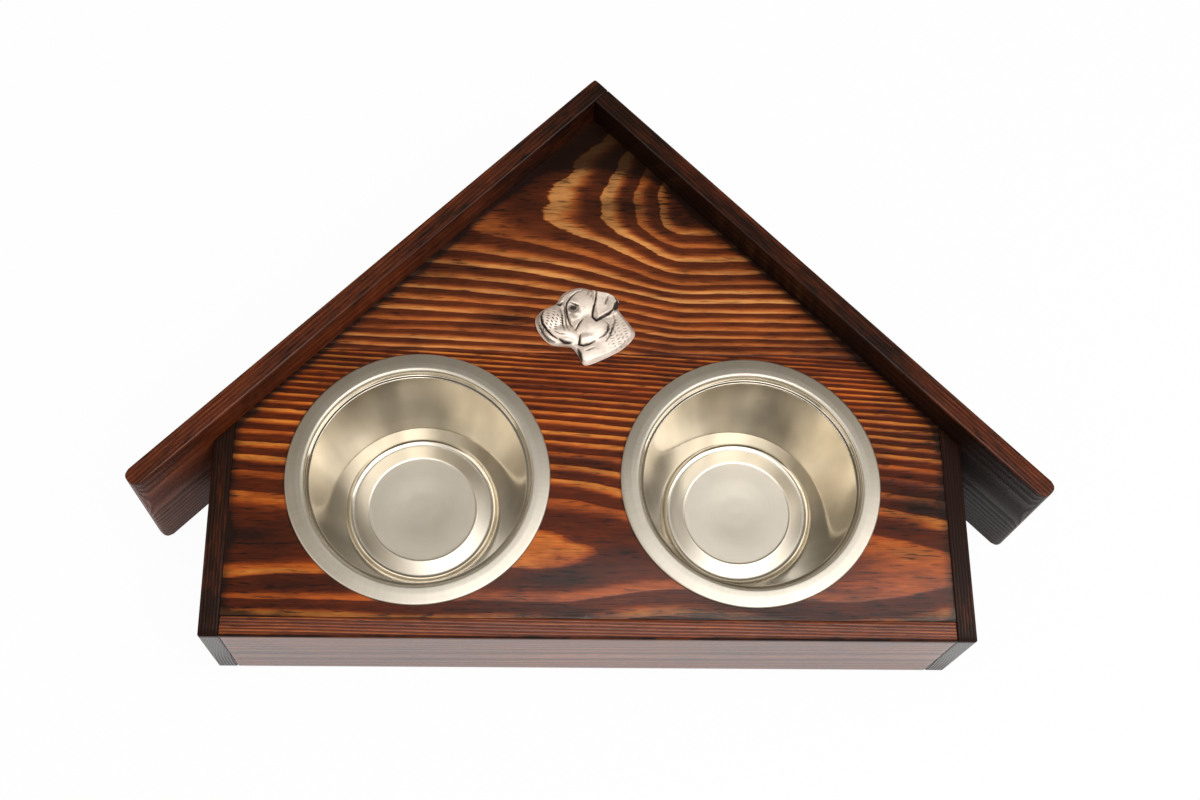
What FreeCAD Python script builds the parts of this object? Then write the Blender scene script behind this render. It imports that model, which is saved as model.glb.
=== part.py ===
"""House-shaped bowl stand: a boarded box under a square ridge, two lift-out bowls and a badge.

Millimetres, +Z up. The origin is on the floor, on the ridge line and halfway from the front
face to the ridge. The front looks towards -Y and the ridge points towards +Y. Plan positions
below are measured from the front face, and the placements move them to the origin.
"""
import FreeCAD, Part
import math
import os
import re

import Sketcher

SIZES = {
    # Boards of the box and the roof
    "board_thickness": (12, "stock of every board and of the panel"),
    "box_width": (460, "over the two side boards"),
    "box_height": (81, "floor to the top of the panel"),
    "box_shift": (2, "middle of the box, left of the ridge line"),
    "side_length": (123, "front face to roof, along a side board's outer face"),
    "roof_height": (104, "width of a roof board, standing on edge"),
    "eave_overhang": (70, "roof board past the box, along the slope"),
    "edge_ease": (1.5, "rounding of the worked arrises"),
    "eave_round": (5, "rounding of the eave's outer upright corner"),
    "ridge_round": (2, "rounding of the ridge's upright corner"),
    # Bowls, pressed from sheet
    "sheet_thickness": (0.6, "steel of the bowls"),
    "mouth_radius": (68.6, "crest of the rim, where the flange starts"),
    "neck_draft": (0.9, "lean of the neck, from the crest in to the ledge"),
    "ledge_width": (1.8, "narrow ledge between the neck and the wall"),
    "ledge_drop": (2.5, "outer edge of the ledge, below the panel's top"),
    "ledge_fall": (0.4, "fall of the ledge towards the wall"),
    "wall_taper": (19, "inward run of the wall down to the foot"),
    "foot_ring": (3.5, "flat ring at the foot of the wall"),
    "kick_run": (10.5, "slope from the ring up to the raised centre"),
    "kick_height": (6, "raised centre above the ring"),
    "bowl_depth": (66, "panel's top down to the inside of the ring"),
    "crest_height": (3, "crest of the rim above the panel"),
    "flange_width": (11.8, "crest out to the rim's edge"),
    "flange_fall": (0.9, "fall of the flange from crest to edge"),
    "foot_round": (2.5, "bend at the foot of the wall"),
    "kick_round": (2.5, "bends of the raised centre"),
    "ledge_round": (0.9, "bends of the ledge"),
    "crest_round": (2.2, "bend of the crest"),
    "lip_round": (1.4, "bend of the turned-down edge"),
    "rim_clearance": (0.3, "rim's edge above the panel"),
    "hole_clearance": (2.4, "cut-out around the bowl's wall"),
    "hole_margin": (2.4, "cut-out behind the front ledger"),
    "seam_margin": (14.3, "seam of the panel behind the cut-outs"),
    # Ledgers under the panel and what fixes them
    "ledger_size": (16, "square section of the ledgers"),
    "ledger_gap": (2, "ends of the ledgers, short of what they run up to"),
    "screw_diameter": (3.5, "shank of the countersunk screws"),
    "screw_head": (7, "head of the countersunk screws"),
    "screw_point": (4, "length of the pointed end"),
    "screw_tip": (0.4, "width left at the point"),
    "screw_cover": (3, "wood left beyond a screw's point"),
    "dowel_diameter": (6, "wooden dowels in the butt joints"),
    "dowel_grip": (16, "dowel in the end of the butting board"),
    "dowel_cover": (4, "wood left beyond a dowel in the board it butts on"),
    "fixing_clearance": (0.15, "hole around a screw or dowel, all over"),
    # Badge
    "badge_width": (63, "nose to the back of the neck"),
    "badge_depth": (53, "crown to the cut of the neck"),
    "badge_plate": (2, "thin rim of the casting"),
    "badge_relief": (7, "highest point of the casting above the panel"),
    "badge_shift": (4, "badge's middle, left of the box's middle"),
    "badge_reach": (201, "badge's middle, behind the front face"),
}

# Bowl cut-outs: shares of the width left over beside them, at the left side and at the right
LEFT_GAP_SHARE, RIGHT_GAP_SHARE = 0.27, 0.32

WORKED = {
    "ridge_inside": "side_length + box_width / 2",
    "ridge_depth": "ridge_inside + board_thickness * sqrt(2)",
    "roof_length": "box_width / sqrt(2) + eave_overhang",
    "left_outside": "-box_width / 2 - box_shift",
    "right_outside": "box_width / 2 - box_shift",
    "left_inside": "left_outside + board_thickness",
    "right_inside": "right_outside - board_thickness",
    "panel_underside": "box_height - board_thickness",
    "ledge_radius": "mouth_radius - neck_draft",
    "throat_radius": "ledge_radius - ledge_width",
    "foot_radius": "throat_radius - wall_taper",
    "kick_radius": "foot_radius - foot_ring",
    "rim_radius": "mouth_radius + flange_width",
    "hole_radius": "throat_radius + sheet_thickness + hole_clearance",
    "bowl_setback": "board_thickness + ledger_size + hole_margin + hole_radius",
    "panel_seam": "bowl_setback + hole_radius + seam_margin",
    "spare_width": "right_inside - left_inside - 4 * hole_radius",
    "left_bowl_place": f"left_inside + spare_width * {LEFT_GAP_SHARE} + hole_radius",
    "right_bowl_place": f"right_inside - spare_width * {RIGHT_GAP_SHARE} - hole_radius",
    "screw_length": "ledger_size + board_thickness - screw_cover",
    "dowel_bite": "board_thickness - dowel_cover",
}

# Shares of a ledger's length where its screws stand, and of a joint's height for its dowels
BOARD_SCREW_SHARES = (0.12, 0.5, 0.88)
PANEL_SCREW_SHARES = (0.3, 0.7)
RIDGE_DOWEL_SHARES = (0.2, 0.5, 0.8)
CORNER_DOWEL_SHARES = (0.3, 0.7)

# Badge outline, a dog's head looking left: shares of its width and depth from its middle
BADGE_OUTLINE_SHARES = (
    (-0.50, 0.05), (-0.46, 0.16), (-0.37, 0.24), (-0.29, 0.29), (-0.22, 0.42), (-0.06, 0.50), (0.11, 0.46),
    (0.25, 0.43), (0.34, 0.35), (0.34, 0.22), (0.44, 0.05), (0.50, -0.10), (0.38, -0.28), (0.18, -0.42),
    (0.00, -0.50), (-0.07, -0.38), (-0.15, -0.27), (-0.33, -0.25), (-0.45, -0.12),
)
# Flap of the ear, hanging over the cheek, as shares in the same way
BADGE_EAR_SHARES = (
    (0.12, 0.44), (0.09, 0.30), (0.08, 0.14), (0.12, 0.09), (0.20, 0.13), (0.29, 0.19), (0.31, 0.29), (0.24, 0.40),
)
# Domes of the badge: middle, half width and half depth as shares, share of the relief, turn
BADGE_DOME_SHARES = {
    "skull": (0.00, 0.27, 0.27, 0.24, 0.78, 0),
    "brow": (-0.13, 0.26, 0.10, 0.12, 0.84, 20),
    "muzzle": (-0.33, 0.07, 0.16, 0.19, 0.95, 15),
    "nose": (-0.45, 0.06, 0.06, 0.12, 0.80, 10),
    "lip": (-0.20, -0.11, 0.17, 0.11, 0.88, -20),
    "jaw": (-0.37, -0.16, 0.11, 0.07, 0.66, -40),
    "cheek": (0.07, -0.03, 0.20, 0.20, 0.76, 0),
    "neck": (0.26, -0.12, 0.25, 0.28, 0.58, 0),
    "throat": (0.05, -0.33, 0.18, 0.17, 0.52, 20),
}

doc = FreeCAD.newDocument("BowlStand")


def qualified(text):
    """Name the sheet of every size in an expression, so that the document can follow it."""
    def sheet_name(match):
        word = match.group(0)
        if word in SIZES:
            return "Sizes." + word
        return "Worked." + word if word in WORKED else word
    return re.sub(r"[a-z]+(?:_[a-z]+)*", sheet_name, text)


def make_sheets():
    """Driving sizes as plain numbers in one sheet, and what follows from them in a second."""
    sizes = doc.addObject("Spreadsheet::Sheet", "Sizes")
    for row, (alias, (value, note)) in enumerate(SIZES.items(), start=1):
        sizes.set(f"A{row}", note)
        sizes.set(f"B{row}", str(value))
        sizes.setAlias(f"B{row}", alias)
    doc.recompute()
    worked = doc.addObject("Spreadsheet::Sheet", "Worked")
    for row, (alias, rule) in enumerate(WORKED.items(), start=1):
        worked.set(f"B{row}", "=" + qualified(rule))
        worked.setAlias(f"B{row}", alias)
        doc.recompute()


def value_of(text):
    """Value of an expression in sizes, in mm."""
    return float(doc.Sizes.evalExpression(qualified(text)))


def bind(thing, **rules):
    """Tie properties to expressions; a double underscore stands for the dot in a name."""
    for name, rule in rules.items():
        thing.setExpression(name.replace("__", "."), qualified(rule))


def place(thing, across, along, up, angle=0):
    """Stand a thing at a plan position from the front face, turned about the vertical."""
    thing.Placement = FreeCAD.Placement(FreeCAD.Vector(), FreeCAD.Rotation(angle, 0, 0))
    bind(thing, Placement__Base__x=across, Placement__Base__z=up,
         Placement__Base__y=f"({along}) - ridge_depth / 2")


def hold_point(sketch, geometry, end, across, up):
    """Fix a sketch point by its two distances from the sketch's origin."""
    for kind, rule in (("DistanceX", across), ("DistanceY", up)):
        held = Sketcher.Constraint(kind, -1, 1, geometry, end, value_of(rule))
        index = sketch.addConstraint(held)
        sketch.setExpression(f"Constraints[{index}]", qualified(rule))


def draw_outline(sketch, corners, closed=True):
    """Draw straight runs through corners (across, up, rounding), with tangent arcs at roundings."""
    points = [FreeCAD.Vector(value_of(across), value_of(up), 0) for across, up, _ in corners]
    count = len(corners)
    runs = count if closed else count - 1
    ins, outs = list(points), list(points)
    for i, (_, _, rounding) in enumerate(corners):
        if rounding:
            back = (points[i - 1] - points[i]).normalize()
            ahead = (points[(i + 1) % count] - points[i]).normalize()
            reach = value_of(rounding) / math.tan(back.getAngle(ahead) / 2)
            ins[i], outs[i] = points[i] + back * reach, points[i] + ahead * reach
    lines = [sketch.addGeometry(Part.LineSegment(outs[i], ins[(i + 1) % count])) for i in range(runs)]
    for i, (across, up, rounding) in enumerate(corners):
        before = lines[i - 1] if closed or i > 0 else None
        after = lines[i] if i < runs else None
        if not rounding:
            if before is not None and after is not None:
                sketch.addConstraint(Sketcher.Constraint("Coincident", before, 2, after, 1))
            hold_point(sketch, after if after is not None else before, 1 if after is not None else 2,
                       across, up)
            continue
        back = (ins[i] - points[i]).normalize()
        ahead = (outs[i] - points[i]).normalize()
        radius = value_of(rounding)
        middle = points[i] + (back + ahead).normalize() * (radius / math.sin(back.getAngle(ahead) / 2))
        nearest = middle + (points[i] - middle).normalize() * radius
        arc = sketch.addGeometry(Part.Arc(ins[i], nearest, outs[i]))
        first = 1 if sketch.getPoint(arc, 1).distanceToPoint(ins[i]) < radius / 10 else 2
        corner = sketch.addGeometry(Part.Point(points[i]), True)
        sketch.addConstraint(Sketcher.Constraint("Tangent", before, 2, arc, first))
        sketch.addConstraint(Sketcher.Constraint("Tangent", arc, 3 - first, after, 1))
        sketch.addConstraint(Sketcher.Constraint("PointOnObject", corner, 1, before))
        sketch.addConstraint(Sketcher.Constraint("PointOnObject", corner, 1, after))
        index = sketch.addConstraint(Sketcher.Constraint("Radius", arc, radius))
        sketch.setExpression(f"Constraints[{index}]", qualified(rounding))
        hold_point(sketch, corner, 1, across, up)


def draw_circle(sketch, across, up, radius):
    """Draw a circle held by its centre and radius."""
    centre = FreeCAD.Vector(value_of(across), value_of(up), 0)
    circle = sketch.addGeometry(Part.Circle(centre, FreeCAD.Vector(0, 0, 1), value_of(radius)))
    index = sketch.addConstraint(Sketcher.Constraint("Radius", circle, value_of(radius)))
    sketch.setExpression(f"Constraints[{index}]", qualified(radius))
    hold_point(sketch, circle, 3, across, up)


def upright_board(name, corners, height, circles=()):
    """Body padded up from a plan outline on the floor plane, with any round cut-outs."""
    body = doc.addObject("PartDesign::Body", name)
    sketch = body.newObject("Sketcher::SketchObject", name + "_outline")
    plane = next(p for p in body.Origin.OriginFeatures if p.Role == "XY_Plane")
    sketch.AttachmentSupport = [(plane, "")]
    sketch.MapMode = "FlatFace"
    draw_outline(sketch, corners)
    for circle in circles:
        draw_circle(sketch, *circle)
    pad = body.newObject("PartDesign::Pad", name + "_pad")
    pad.Profile = sketch
    bind(pad, Length=height)
    doc.recompute()
    return body


def ease_edges(body, chosen):
    """Round the edges of a board that the test picks by their box."""
    pad = body.Tip
    names = [f"Edge{i}" for i, edge in enumerate(pad.Shape.Edges, start=1) if chosen(edge.BoundBox)]
    fillet = body.newObject("PartDesign::Fillet", body.Name + "_eased")
    fillet.Base = (pad, names)
    bind(fillet, Radius="edge_ease")
    doc.recompute()


def near(a, b):
    """True where two lengths are the same, going by a small part of the easing."""
    return abs(a - b) < value_of("edge_ease") / 100


def flat_at(box, level):
    """True for an edge that lies flat at a level."""
    return near(box.ZMin, level) and near(box.ZMax, level)


def cut_out(blank, name, tools):
    """The finished piece: a blank less the holes of its fixings."""
    gathered = doc.addObject("Part::Compound", name + "_holes")
    gathered.Links = tools
    piece = doc.addObject("Part::Cut", name)
    piece.Base = blank
    piece.Tool = gathered
    return piece


def spun(name, profile):
    """Solid of revolution about the upright axis of a sketch or face."""
    turned = doc.addObject("Part::Revolution", name)
    turned.Source = profile
    turned.Axis = FreeCAD.Vector(0, 0, 1)
    turned.Angle = 360
    turned.Solid = True
    return turned


def profile_sketch(name, corners, closed=True):
    """Sketch on the upright plane through the axis, for turned pieces."""
    sketch = doc.addObject("Sketcher::SketchObject", name)
    sketch.Placement = FreeCAD.Placement(FreeCAD.Vector(), FreeCAD.Rotation(FreeCAD.Vector(1, 0, 0), 90))
    draw_outline(sketch, corners, closed)
    return sketch


def screw_profiles():
    """Half sections of the countersunk screw and of its hole, head down and point up."""
    outlines = {}
    for name, room in (("screw", "0"), ("screw_hole", "fixing_clearance")):
        shank, head = f"screw_diameter / 2 + {room}", f"screw_head / 2 + {room}"
        outlines[name] = profile_sketch(name + "_profile", [
            ("0", f"-({room})", None),
            (head, f"-({room})", None),
            (shank, f"(screw_head - screw_diameter) / 2 + {room}", None),
            (shank, "screw_length - screw_point", None),
            (f"screw_tip / 2 + {room}", f"screw_length + {room}", None),
            ("0", f"screw_length + {room}", None),
        ])
    return outlines


def screws(name, profile, spots, tilt):
    """Screws at spots (along, across, up) of a ledger, all tilted alike from point-up."""
    links = []
    for i, (along, across, up) in enumerate(spots, start=1):
        screw = spun(f"{name}_{i}", profile)
        screw.Placement = FreeCAD.Placement(FreeCAD.Vector(), FreeCAD.Rotation(FreeCAD.Vector(1, 0, 0), tilt))
        bind(screw, Placement__Base__x=along, Placement__Base__y=across, Placement__Base__z=up)
        links.append(screw)
    group = doc.addObject("Part::Compound", name)
    group.Links = links
    return group


def ledger_set(name, across, along, angle, length, profiles):
    """A ledger along a board with its screws into the board and up into the panel.

    In the ledger's own frame the board's face is the plane y = 0 and the panel's underside is
    its top. Returns the holes for the board and for the panel.
    """
    middle = "ledger_size / 2"
    into_board = [(f"({length}) * {s}", "ledger_size", f"-{middle}") for s in BOARD_SCREW_SHARES]
    into_panel = [(f"({length}) * {s}", middle, "-ledger_size") for s in PANEL_SCREW_SHARES]
    holes = []
    for kind, spots, tilt in (("board", into_board, 90), ("panel", into_panel, 0)):
        group = screws(f"{name}_{kind}_screws", profiles["screw"], spots, tilt)
        hole = screws(f"{name}_{kind}_holes", profiles["screw_hole"], spots, tilt)
        for thing in (group, hole):
            place(thing, across, along, "panel_underside", angle)
        holes.append(hole)
    strip = doc.addObject("Part::Box", name + "_strip")
    place(strip, across, along, "panel_underside - ledger_size", angle)
    bind(strip, Length=length, Width="ledger_size", Height="ledger_size")
    cut_out(strip, name, holes)
    return holes


def dowels(name, across, along, angle, heights):
    """Dowels level in a butt joint, along their own frame's x from the joint's plane at x = 0.

    Returns their holes. The bite goes into the board butted on, the grip into the other's end.
    """
    made = []
    for kind, room in (("", "0"), ("_holes", "fixing_clearance")):
        links = []
        for i, up in enumerate(heights, start=1):
            rod = doc.addObject("Part::Cylinder", f"{name}{kind}_{i}")
            rod.Placement = FreeCAD.Placement(FreeCAD.Vector(), FreeCAD.Rotation(FreeCAD.Vector(0, 1, 0), 90))
            bind(rod, Radius=f"dowel_diameter / 2 + {room}", Height=f"dowel_bite + dowel_grip + 2 * {room}",
                 Placement__Base__x=f"-dowel_bite - {room}", Placement__Base__z=up)
            links.append(rod)
        group = doc.addObject("Part::Compound", name + kind)
        group.Links = links
        place(group, across, along, "0", angle)
        made.append(group)
    return made[1]


def roof_boards(ledger_holes):
    """The two roof boards on edge: the left runs through the ridge, the right butts on it."""
    height = value_of("roof_height")
    left = upright_board("left_roof_blank", [
        ("0", "0", "ridge_round"),
        ("roof_length", "0", "eave_round"),
        ("roof_length", "board_thickness", "eave_round / 2"),
        ("0", "board_thickness", None),
    ], "roof_height")
    ease_edges(left, lambda box: flat_at(box, 0) or flat_at(box, height))
    place(left, "0", "ridge_depth", "0", 225)
    right = upright_board("right_roof_blank", [
        ("board_thickness", "-board_thickness", None),
        ("roof_length", "-board_thickness", "eave_round / 2"),
        ("roof_length", "0", "eave_round"),
        ("board_thickness", "0", None),
    ], "roof_height")
    start = value_of("board_thickness")
    ease_edges(right, lambda box: (flat_at(box, 0) or flat_at(box, height)) and not near(box.XMax, start))
    place(right, "0", "ridge_depth", "0", 315)
    # The joint's plane is the left board's inner face, at the middle of the right board's end
    ridge = dowels("ridge_dowels", "board_thickness / 2 / sqrt(2)",
                   "ridge_depth - board_thickness * 3 / 2 / sqrt(2)", 315,
                   [f"roof_height * {s}" for s in RIDGE_DOWEL_SHARES])
    cut_out(left, "left_roof_board", [ridge, ledger_holes["left_roof_ledger"][0]])
    cut_out(right, "right_roof_board", [ridge, ledger_holes["right_roof_ledger"][0]])


def box_boards(ledger_holes):
    """Side boards bevelled to the roof's inner faces, and the front board between them."""
    top = value_of("box_height")
    heights = [f"box_height * {s}" for s in CORNER_DOWEL_SHARES]
    joints = {}
    for side, sign, angle in (("left", "+", 0), ("right", "-", 180)):
        outside, inside = f"{side}_outside", f"{side}_inside"
        blank = upright_board(f"{side}_side_blank", [
            (outside, "0", None),
            (inside, "0", None),
            (inside, f"ridge_inside {sign} {inside}", None),
            (outside, f"ridge_inside {sign} {outside}", None),
        ], "box_height")
        face = value_of(outside)

        def worked(box, face=face):
            on_side = near(box.XMin, face) and near(box.XMax, face)
            on_front = near(box.YMin, 0) and near(box.YMax, 0)
            level = flat_at(box, 0) or flat_at(box, top)
            return level and (on_side or on_front) or on_side and on_front

        ease_edges(blank, worked)
        place(blank, "0", "0", "0")
        joints[side] = dowels(f"{side}_corner_dowels", inside, "board_thickness / 2", angle, heights)
        cut_out(blank, f"{side}_side_board", [joints[side], ledger_holes[f"{side}_side_ledger"][0]])
    front = upright_board("front_blank", [
        ("left_inside", "0", None),
        ("right_inside", "0", None),
        ("right_inside", "board_thickness", None),
        ("left_inside", "board_thickness", None),
    ], "box_height")
    ease_edges(front, lambda box: near(box.YMax, 0) and (flat_at(box, 0) or flat_at(box, top)))
    place(front, "0", "0", "0")
    cut_out(front, "front_board", [*joints.values(), ledger_holes["front_ledger"][0]])


def panel_staves(ledger_holes):
    """The panel with its two cut-outs, glued up from two staves along one seam."""
    blank = upright_board("panel_blank", [
        ("left_inside", "board_thickness", None),
        ("right_inside", "board_thickness", None),
        ("right_inside", "ridge_inside - right_inside", None),
        ("0", "ridge_inside", None),
        ("left_inside", "ridge_inside + left_inside", None),
    ], "board_thickness", [
        ("left_bowl_place", "bowl_setback", "hole_radius"),
        ("right_bowl_place", "bowl_setback", "hole_radius"),
    ])
    place(blank, "0", "0", "panel_underside")
    drilled = cut_out(blank, "panel_drilled", [holes[1] for holes in ledger_holes.values()])
    for name, near_edge, far_edge in (("panel_front_stave", "board_thickness", "panel_seam"),
                                      ("panel_back_stave", "panel_seam", "ridge_inside")):
        strip = doc.addObject("Part::Box", name + "_strip")
        bind(strip, Length="box_width", Width=f"{far_edge} - {near_edge}", Height="board_thickness")
        place(strip, "left_outside", near_edge, "panel_underside")
        stave = doc.addObject("Part::Common", name)
        stave.Base = drilled
        stave.Tool = strip


def bowls():
    """Pressed bowls: one line of bends from the raised centre to the turned-down edge, thickened."""
    wall = profile_sketch("bowl_profile", [
        ("0", "kick_height - bowl_depth", None),
        ("kick_radius - kick_run", "kick_height - bowl_depth", "kick_round"),
        ("kick_radius", "-bowl_depth", "kick_round"),
        ("foot_radius", "-bowl_depth", "foot_round"),
        ("throat_radius", "-ledge_drop - ledge_fall", "ledge_round"),
        ("ledge_radius", "-ledge_drop", "ledge_round"),
        ("mouth_radius", "crest_height", "crest_round"),
        ("rim_radius", "crest_height - flange_fall", "lip_round"),
        ("rim_radius", "rim_clearance", None),
    ], closed=False)
    sheet = doc.addObject("Part::Offset2D", "bowl_sheet")
    sheet.Source = wall
    sheet.Mode = "Skin"
    sheet.Fill = True
    bind(sheet, Value="-sheet_thickness")
    for side in ("left", "right"):
        bowl = spun(f"{side}_bowl", sheet)
        place(bowl, f"{side}_bowl_place", "bowl_setback", "box_height")


def badge_slab(name, shares, height):
    """Slab up from the panel, with a smooth outline through points given as shares of the badge."""
    width, depth = value_of("badge_width"), value_of("badge_depth")
    curve = Part.BSplineCurve()
    curve.interpolate([FreeCAD.Vector(u * width, v * depth, 0) for u, v in shares], PeriodicFlag=True)
    outline = doc.addObject("Part::Feature", name + "_outline")
    outline.Shape = Part.Face(Part.Wire(curve.toShape()))
    slab = doc.addObject("Part::Extrusion", name)
    slab.Base = outline
    slab.DirMode = "Custom"
    slab.Dir = FreeCAD.Vector(0, 0, 1)
    slab.Solid = True
    bind(slab, LengthFwd=height)
    return slab


def badge():
    """Cast badge: the head's outline as a thin plate, with the ear's flap and domes for its main forms."""
    plate = badge_slab("badge_thin_plate", BADGE_OUTLINE_SHARES, "badge_plate")
    bounds = badge_slab("badge_bounds", BADGE_OUTLINE_SHARES, "badge_relief")
    raised = [badge_slab("badge_ear", BADGE_EAR_SHARES, "badge_relief")]
    for name, (u, v, half_width, half_depth, rise, turn) in BADGE_DOME_SHARES.items():
        dome = doc.addObject("Part::Ellipsoid", f"badge_{name}")
        dome.Placement = FreeCAD.Placement(FreeCAD.Vector(), FreeCAD.Rotation(turn, 0, 0))
        bind(dome, Radius1=f"badge_relief * {rise}", Radius2=f"badge_width * {half_width}",
             Radius3=f"badge_depth * {half_depth}",
             Placement__Base__x=f"badge_width * {u}", Placement__Base__y=f"badge_depth * {v}")
        raised.append(dome)
    forms = doc.addObject("Part::MultiFuse", "badge_forms")
    forms.Shapes = raised
    relief = doc.addObject("Part::Common", "badge_relief_forms")
    relief.Base = bounds
    relief.Tool = forms
    casting = doc.addObject("Part::Fuse", "badge")
    casting.Base = plate
    casting.Tool = relief
    place(casting, "-box_shift - badge_shift", "badge_reach", "box_height")


def ledgers():
    """Five ledgers under the panel, each along one board; returns their holes by name."""
    profiles = screw_profiles()
    low = "(box_width / 2 - board_thickness - ledger_size {} box_shift)"
    clear = "board_thickness + ledger_size + ledger_gap"
    holes = {}
    # Left: from the right roof board's face down to clear the side ledger
    reach = low.format("+")
    holes["left_roof_ledger"] = ledger_set(
        "left_roof_ledger", "-ledger_gap / sqrt(2)", "ridge_inside - ledger_gap / sqrt(2)", 225,
        f"{reach} * sqrt(2) - ledger_gap", profiles)
    # Right: drawn from its low end up to the left ledger's side
    reach = low.format("-")
    holes["right_roof_ledger"] = ledger_set(
        "right_roof_ledger", reach, f"ridge_inside - {reach}", 135,
        f"{reach} * sqrt(2) - ledger_size - ledger_gap", profiles)
    holes["left_side_ledger"] = ledger_set(
        "left_side_ledger", "left_inside", "ridge_inside + left_inside - ledger_gap", 270,
        f"ridge_inside + left_inside - ledger_gap - ({clear})", profiles)
    holes["right_side_ledger"] = ledger_set(
        "right_side_ledger", "right_inside", clear, 90,
        f"ridge_inside - right_inside - ledger_gap - ({clear})", profiles)
    holes["front_ledger"] = ledger_set(
        "front_ledger", "left_inside + ledger_gap", "board_thickness", 0,
        "right_inside - left_inside - 2 * ledger_gap", profiles)
    return holes


LEDGERS = ("front_ledger", "left_side_ledger", "right_side_ledger", "left_roof_ledger", "right_roof_ledger")
NODES = (
    "panel_front_stave", "panel_back_stave", "front_board", "left_side_board", "right_side_board",
    "left_roof_board", "right_roof_board", "left_bowl", "right_bowl", "badge",
    "ridge_dowels", "left_corner_dowels", "right_corner_dowels", *LEDGERS,
    *(f"{ledger}_{kind}_screws" for ledger in LEDGERS for kind in ("board", "panel")),
)


def write_parts():
    """Stop on any failed object or bad shape, then write one file for each piece."""
    failed = [o.Name for o in doc.Objects if {"Invalid", "Error"} & set(o.State)]
    if failed:
        raise RuntimeError("failed objects: " + ", ".join(failed))
    for node in NODES:
        shape = doc.getObject(node).Shape
        if shape.isNull() or not shape.isValid() or not shape.Solids:
            raise RuntimeError("bad shape: " + node)
    os.makedirs("parts", exist_ok=True)
    for node in NODES:
        piece = doc.getObject(node)
        piece.Label = node
        piece.Shape.exportStep(f"parts/{node}.step")
        print(node, len(piece.Shape.Solids), round(piece.Shape.Volume / 1000, 2), "cm3")


make_sheets()
ledger_holes = ledgers()
roof_boards(ledger_holes)
box_boards(ledger_holes)
panel_staves(ledger_holes)
bowls()
badge()
doc.recompute()
write_parts()
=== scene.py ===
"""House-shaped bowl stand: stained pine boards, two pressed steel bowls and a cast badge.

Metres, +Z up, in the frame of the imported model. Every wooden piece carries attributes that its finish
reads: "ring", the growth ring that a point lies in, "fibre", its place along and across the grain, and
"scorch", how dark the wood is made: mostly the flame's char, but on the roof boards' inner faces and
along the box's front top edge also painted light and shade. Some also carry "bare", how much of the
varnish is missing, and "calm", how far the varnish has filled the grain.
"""
import math

import bmesh
import bpy
import numpy as np
from mathutils import Matrix, Vector


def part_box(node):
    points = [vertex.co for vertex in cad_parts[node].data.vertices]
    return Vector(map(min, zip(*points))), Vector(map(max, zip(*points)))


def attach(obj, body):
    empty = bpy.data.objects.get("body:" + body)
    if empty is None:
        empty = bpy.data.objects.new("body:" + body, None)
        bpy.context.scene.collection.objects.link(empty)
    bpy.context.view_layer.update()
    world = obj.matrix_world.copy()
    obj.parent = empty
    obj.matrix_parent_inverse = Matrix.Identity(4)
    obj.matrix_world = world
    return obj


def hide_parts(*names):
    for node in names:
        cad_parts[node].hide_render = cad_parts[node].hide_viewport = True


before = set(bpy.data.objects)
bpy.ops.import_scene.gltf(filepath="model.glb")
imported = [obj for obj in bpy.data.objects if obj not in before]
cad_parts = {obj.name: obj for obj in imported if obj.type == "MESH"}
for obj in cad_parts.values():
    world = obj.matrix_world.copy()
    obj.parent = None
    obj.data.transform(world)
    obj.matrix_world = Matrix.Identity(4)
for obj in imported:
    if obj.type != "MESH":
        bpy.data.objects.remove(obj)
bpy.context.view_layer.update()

bl_info = {
    "name": "House-shaped bowl stand",
    "version": (1, 0, 0),
    "blender": (4, 5, 0),
    "location": "3D View > Sidebar > Bowl stand",
    "description": "Boards, bowls and badge of a bowl stand, built around its packed frame",
    "category": "Add Mesh",
}

# Places that the frame gives
LEFT, FRONT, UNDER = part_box("panel_front_stave")[0]
RIGHT, SEAM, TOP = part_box("panel_front_stave")[1]
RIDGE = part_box("panel_back_stave")[1].y
THICK = TOP - UNDER
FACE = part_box("front_board")[0].y
LEFT_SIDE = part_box("left_side_board")[0].x
RIGHT_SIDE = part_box("right_side_board")[1].x
ROOF_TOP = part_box("left_roof_board")[1].z
APEX = RIDGE + THICK * math.sqrt(2)
DIAGONAL = math.sqrt(0.5)
# Points this near are one, faces this thin go, edges this sharp show, and places this near touch
MERGE = 2e-6
SLIVER = 1e-7
CREASE = math.radians(50)
TOUCH = 1e-6


def srgb(red, green, blue):
    """Linear colour of a tone given as 0 to 255."""
    tone = np.array((red, green, blue)) / 255
    return tuple(np.where(tone <= 0.04045, tone / 12.92, ((tone + 0.055) / 1.055) ** 2.4))


def length(name, description, default):
    """A size that a user may change."""
    return bpy.props.FloatProperty(name=name, description=description, default=default, min=0,
                                   precision=4, unit="LENGTH")


def number(name, description, default, top=1):
    """A plain number that a user may change."""
    return bpy.props.FloatProperty(name=name, description=description, default=default, min=0, max=top)


def colour(name, description, tone):
    """A colour that a user may change, from a tone of 0 to 255."""
    return bpy.props.FloatVectorProperty(name=name, description=description, default=srgb(*tone),
                                         size=3, min=0, max=1, subtype="COLOR")


def triple(name, description, default, subtype):
    """A place or a direction that a user may change."""
    return bpy.props.FloatVectorProperty(name=name, description=description, default=default, size=3,
                                         precision=4, subtype=subtype)


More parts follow.
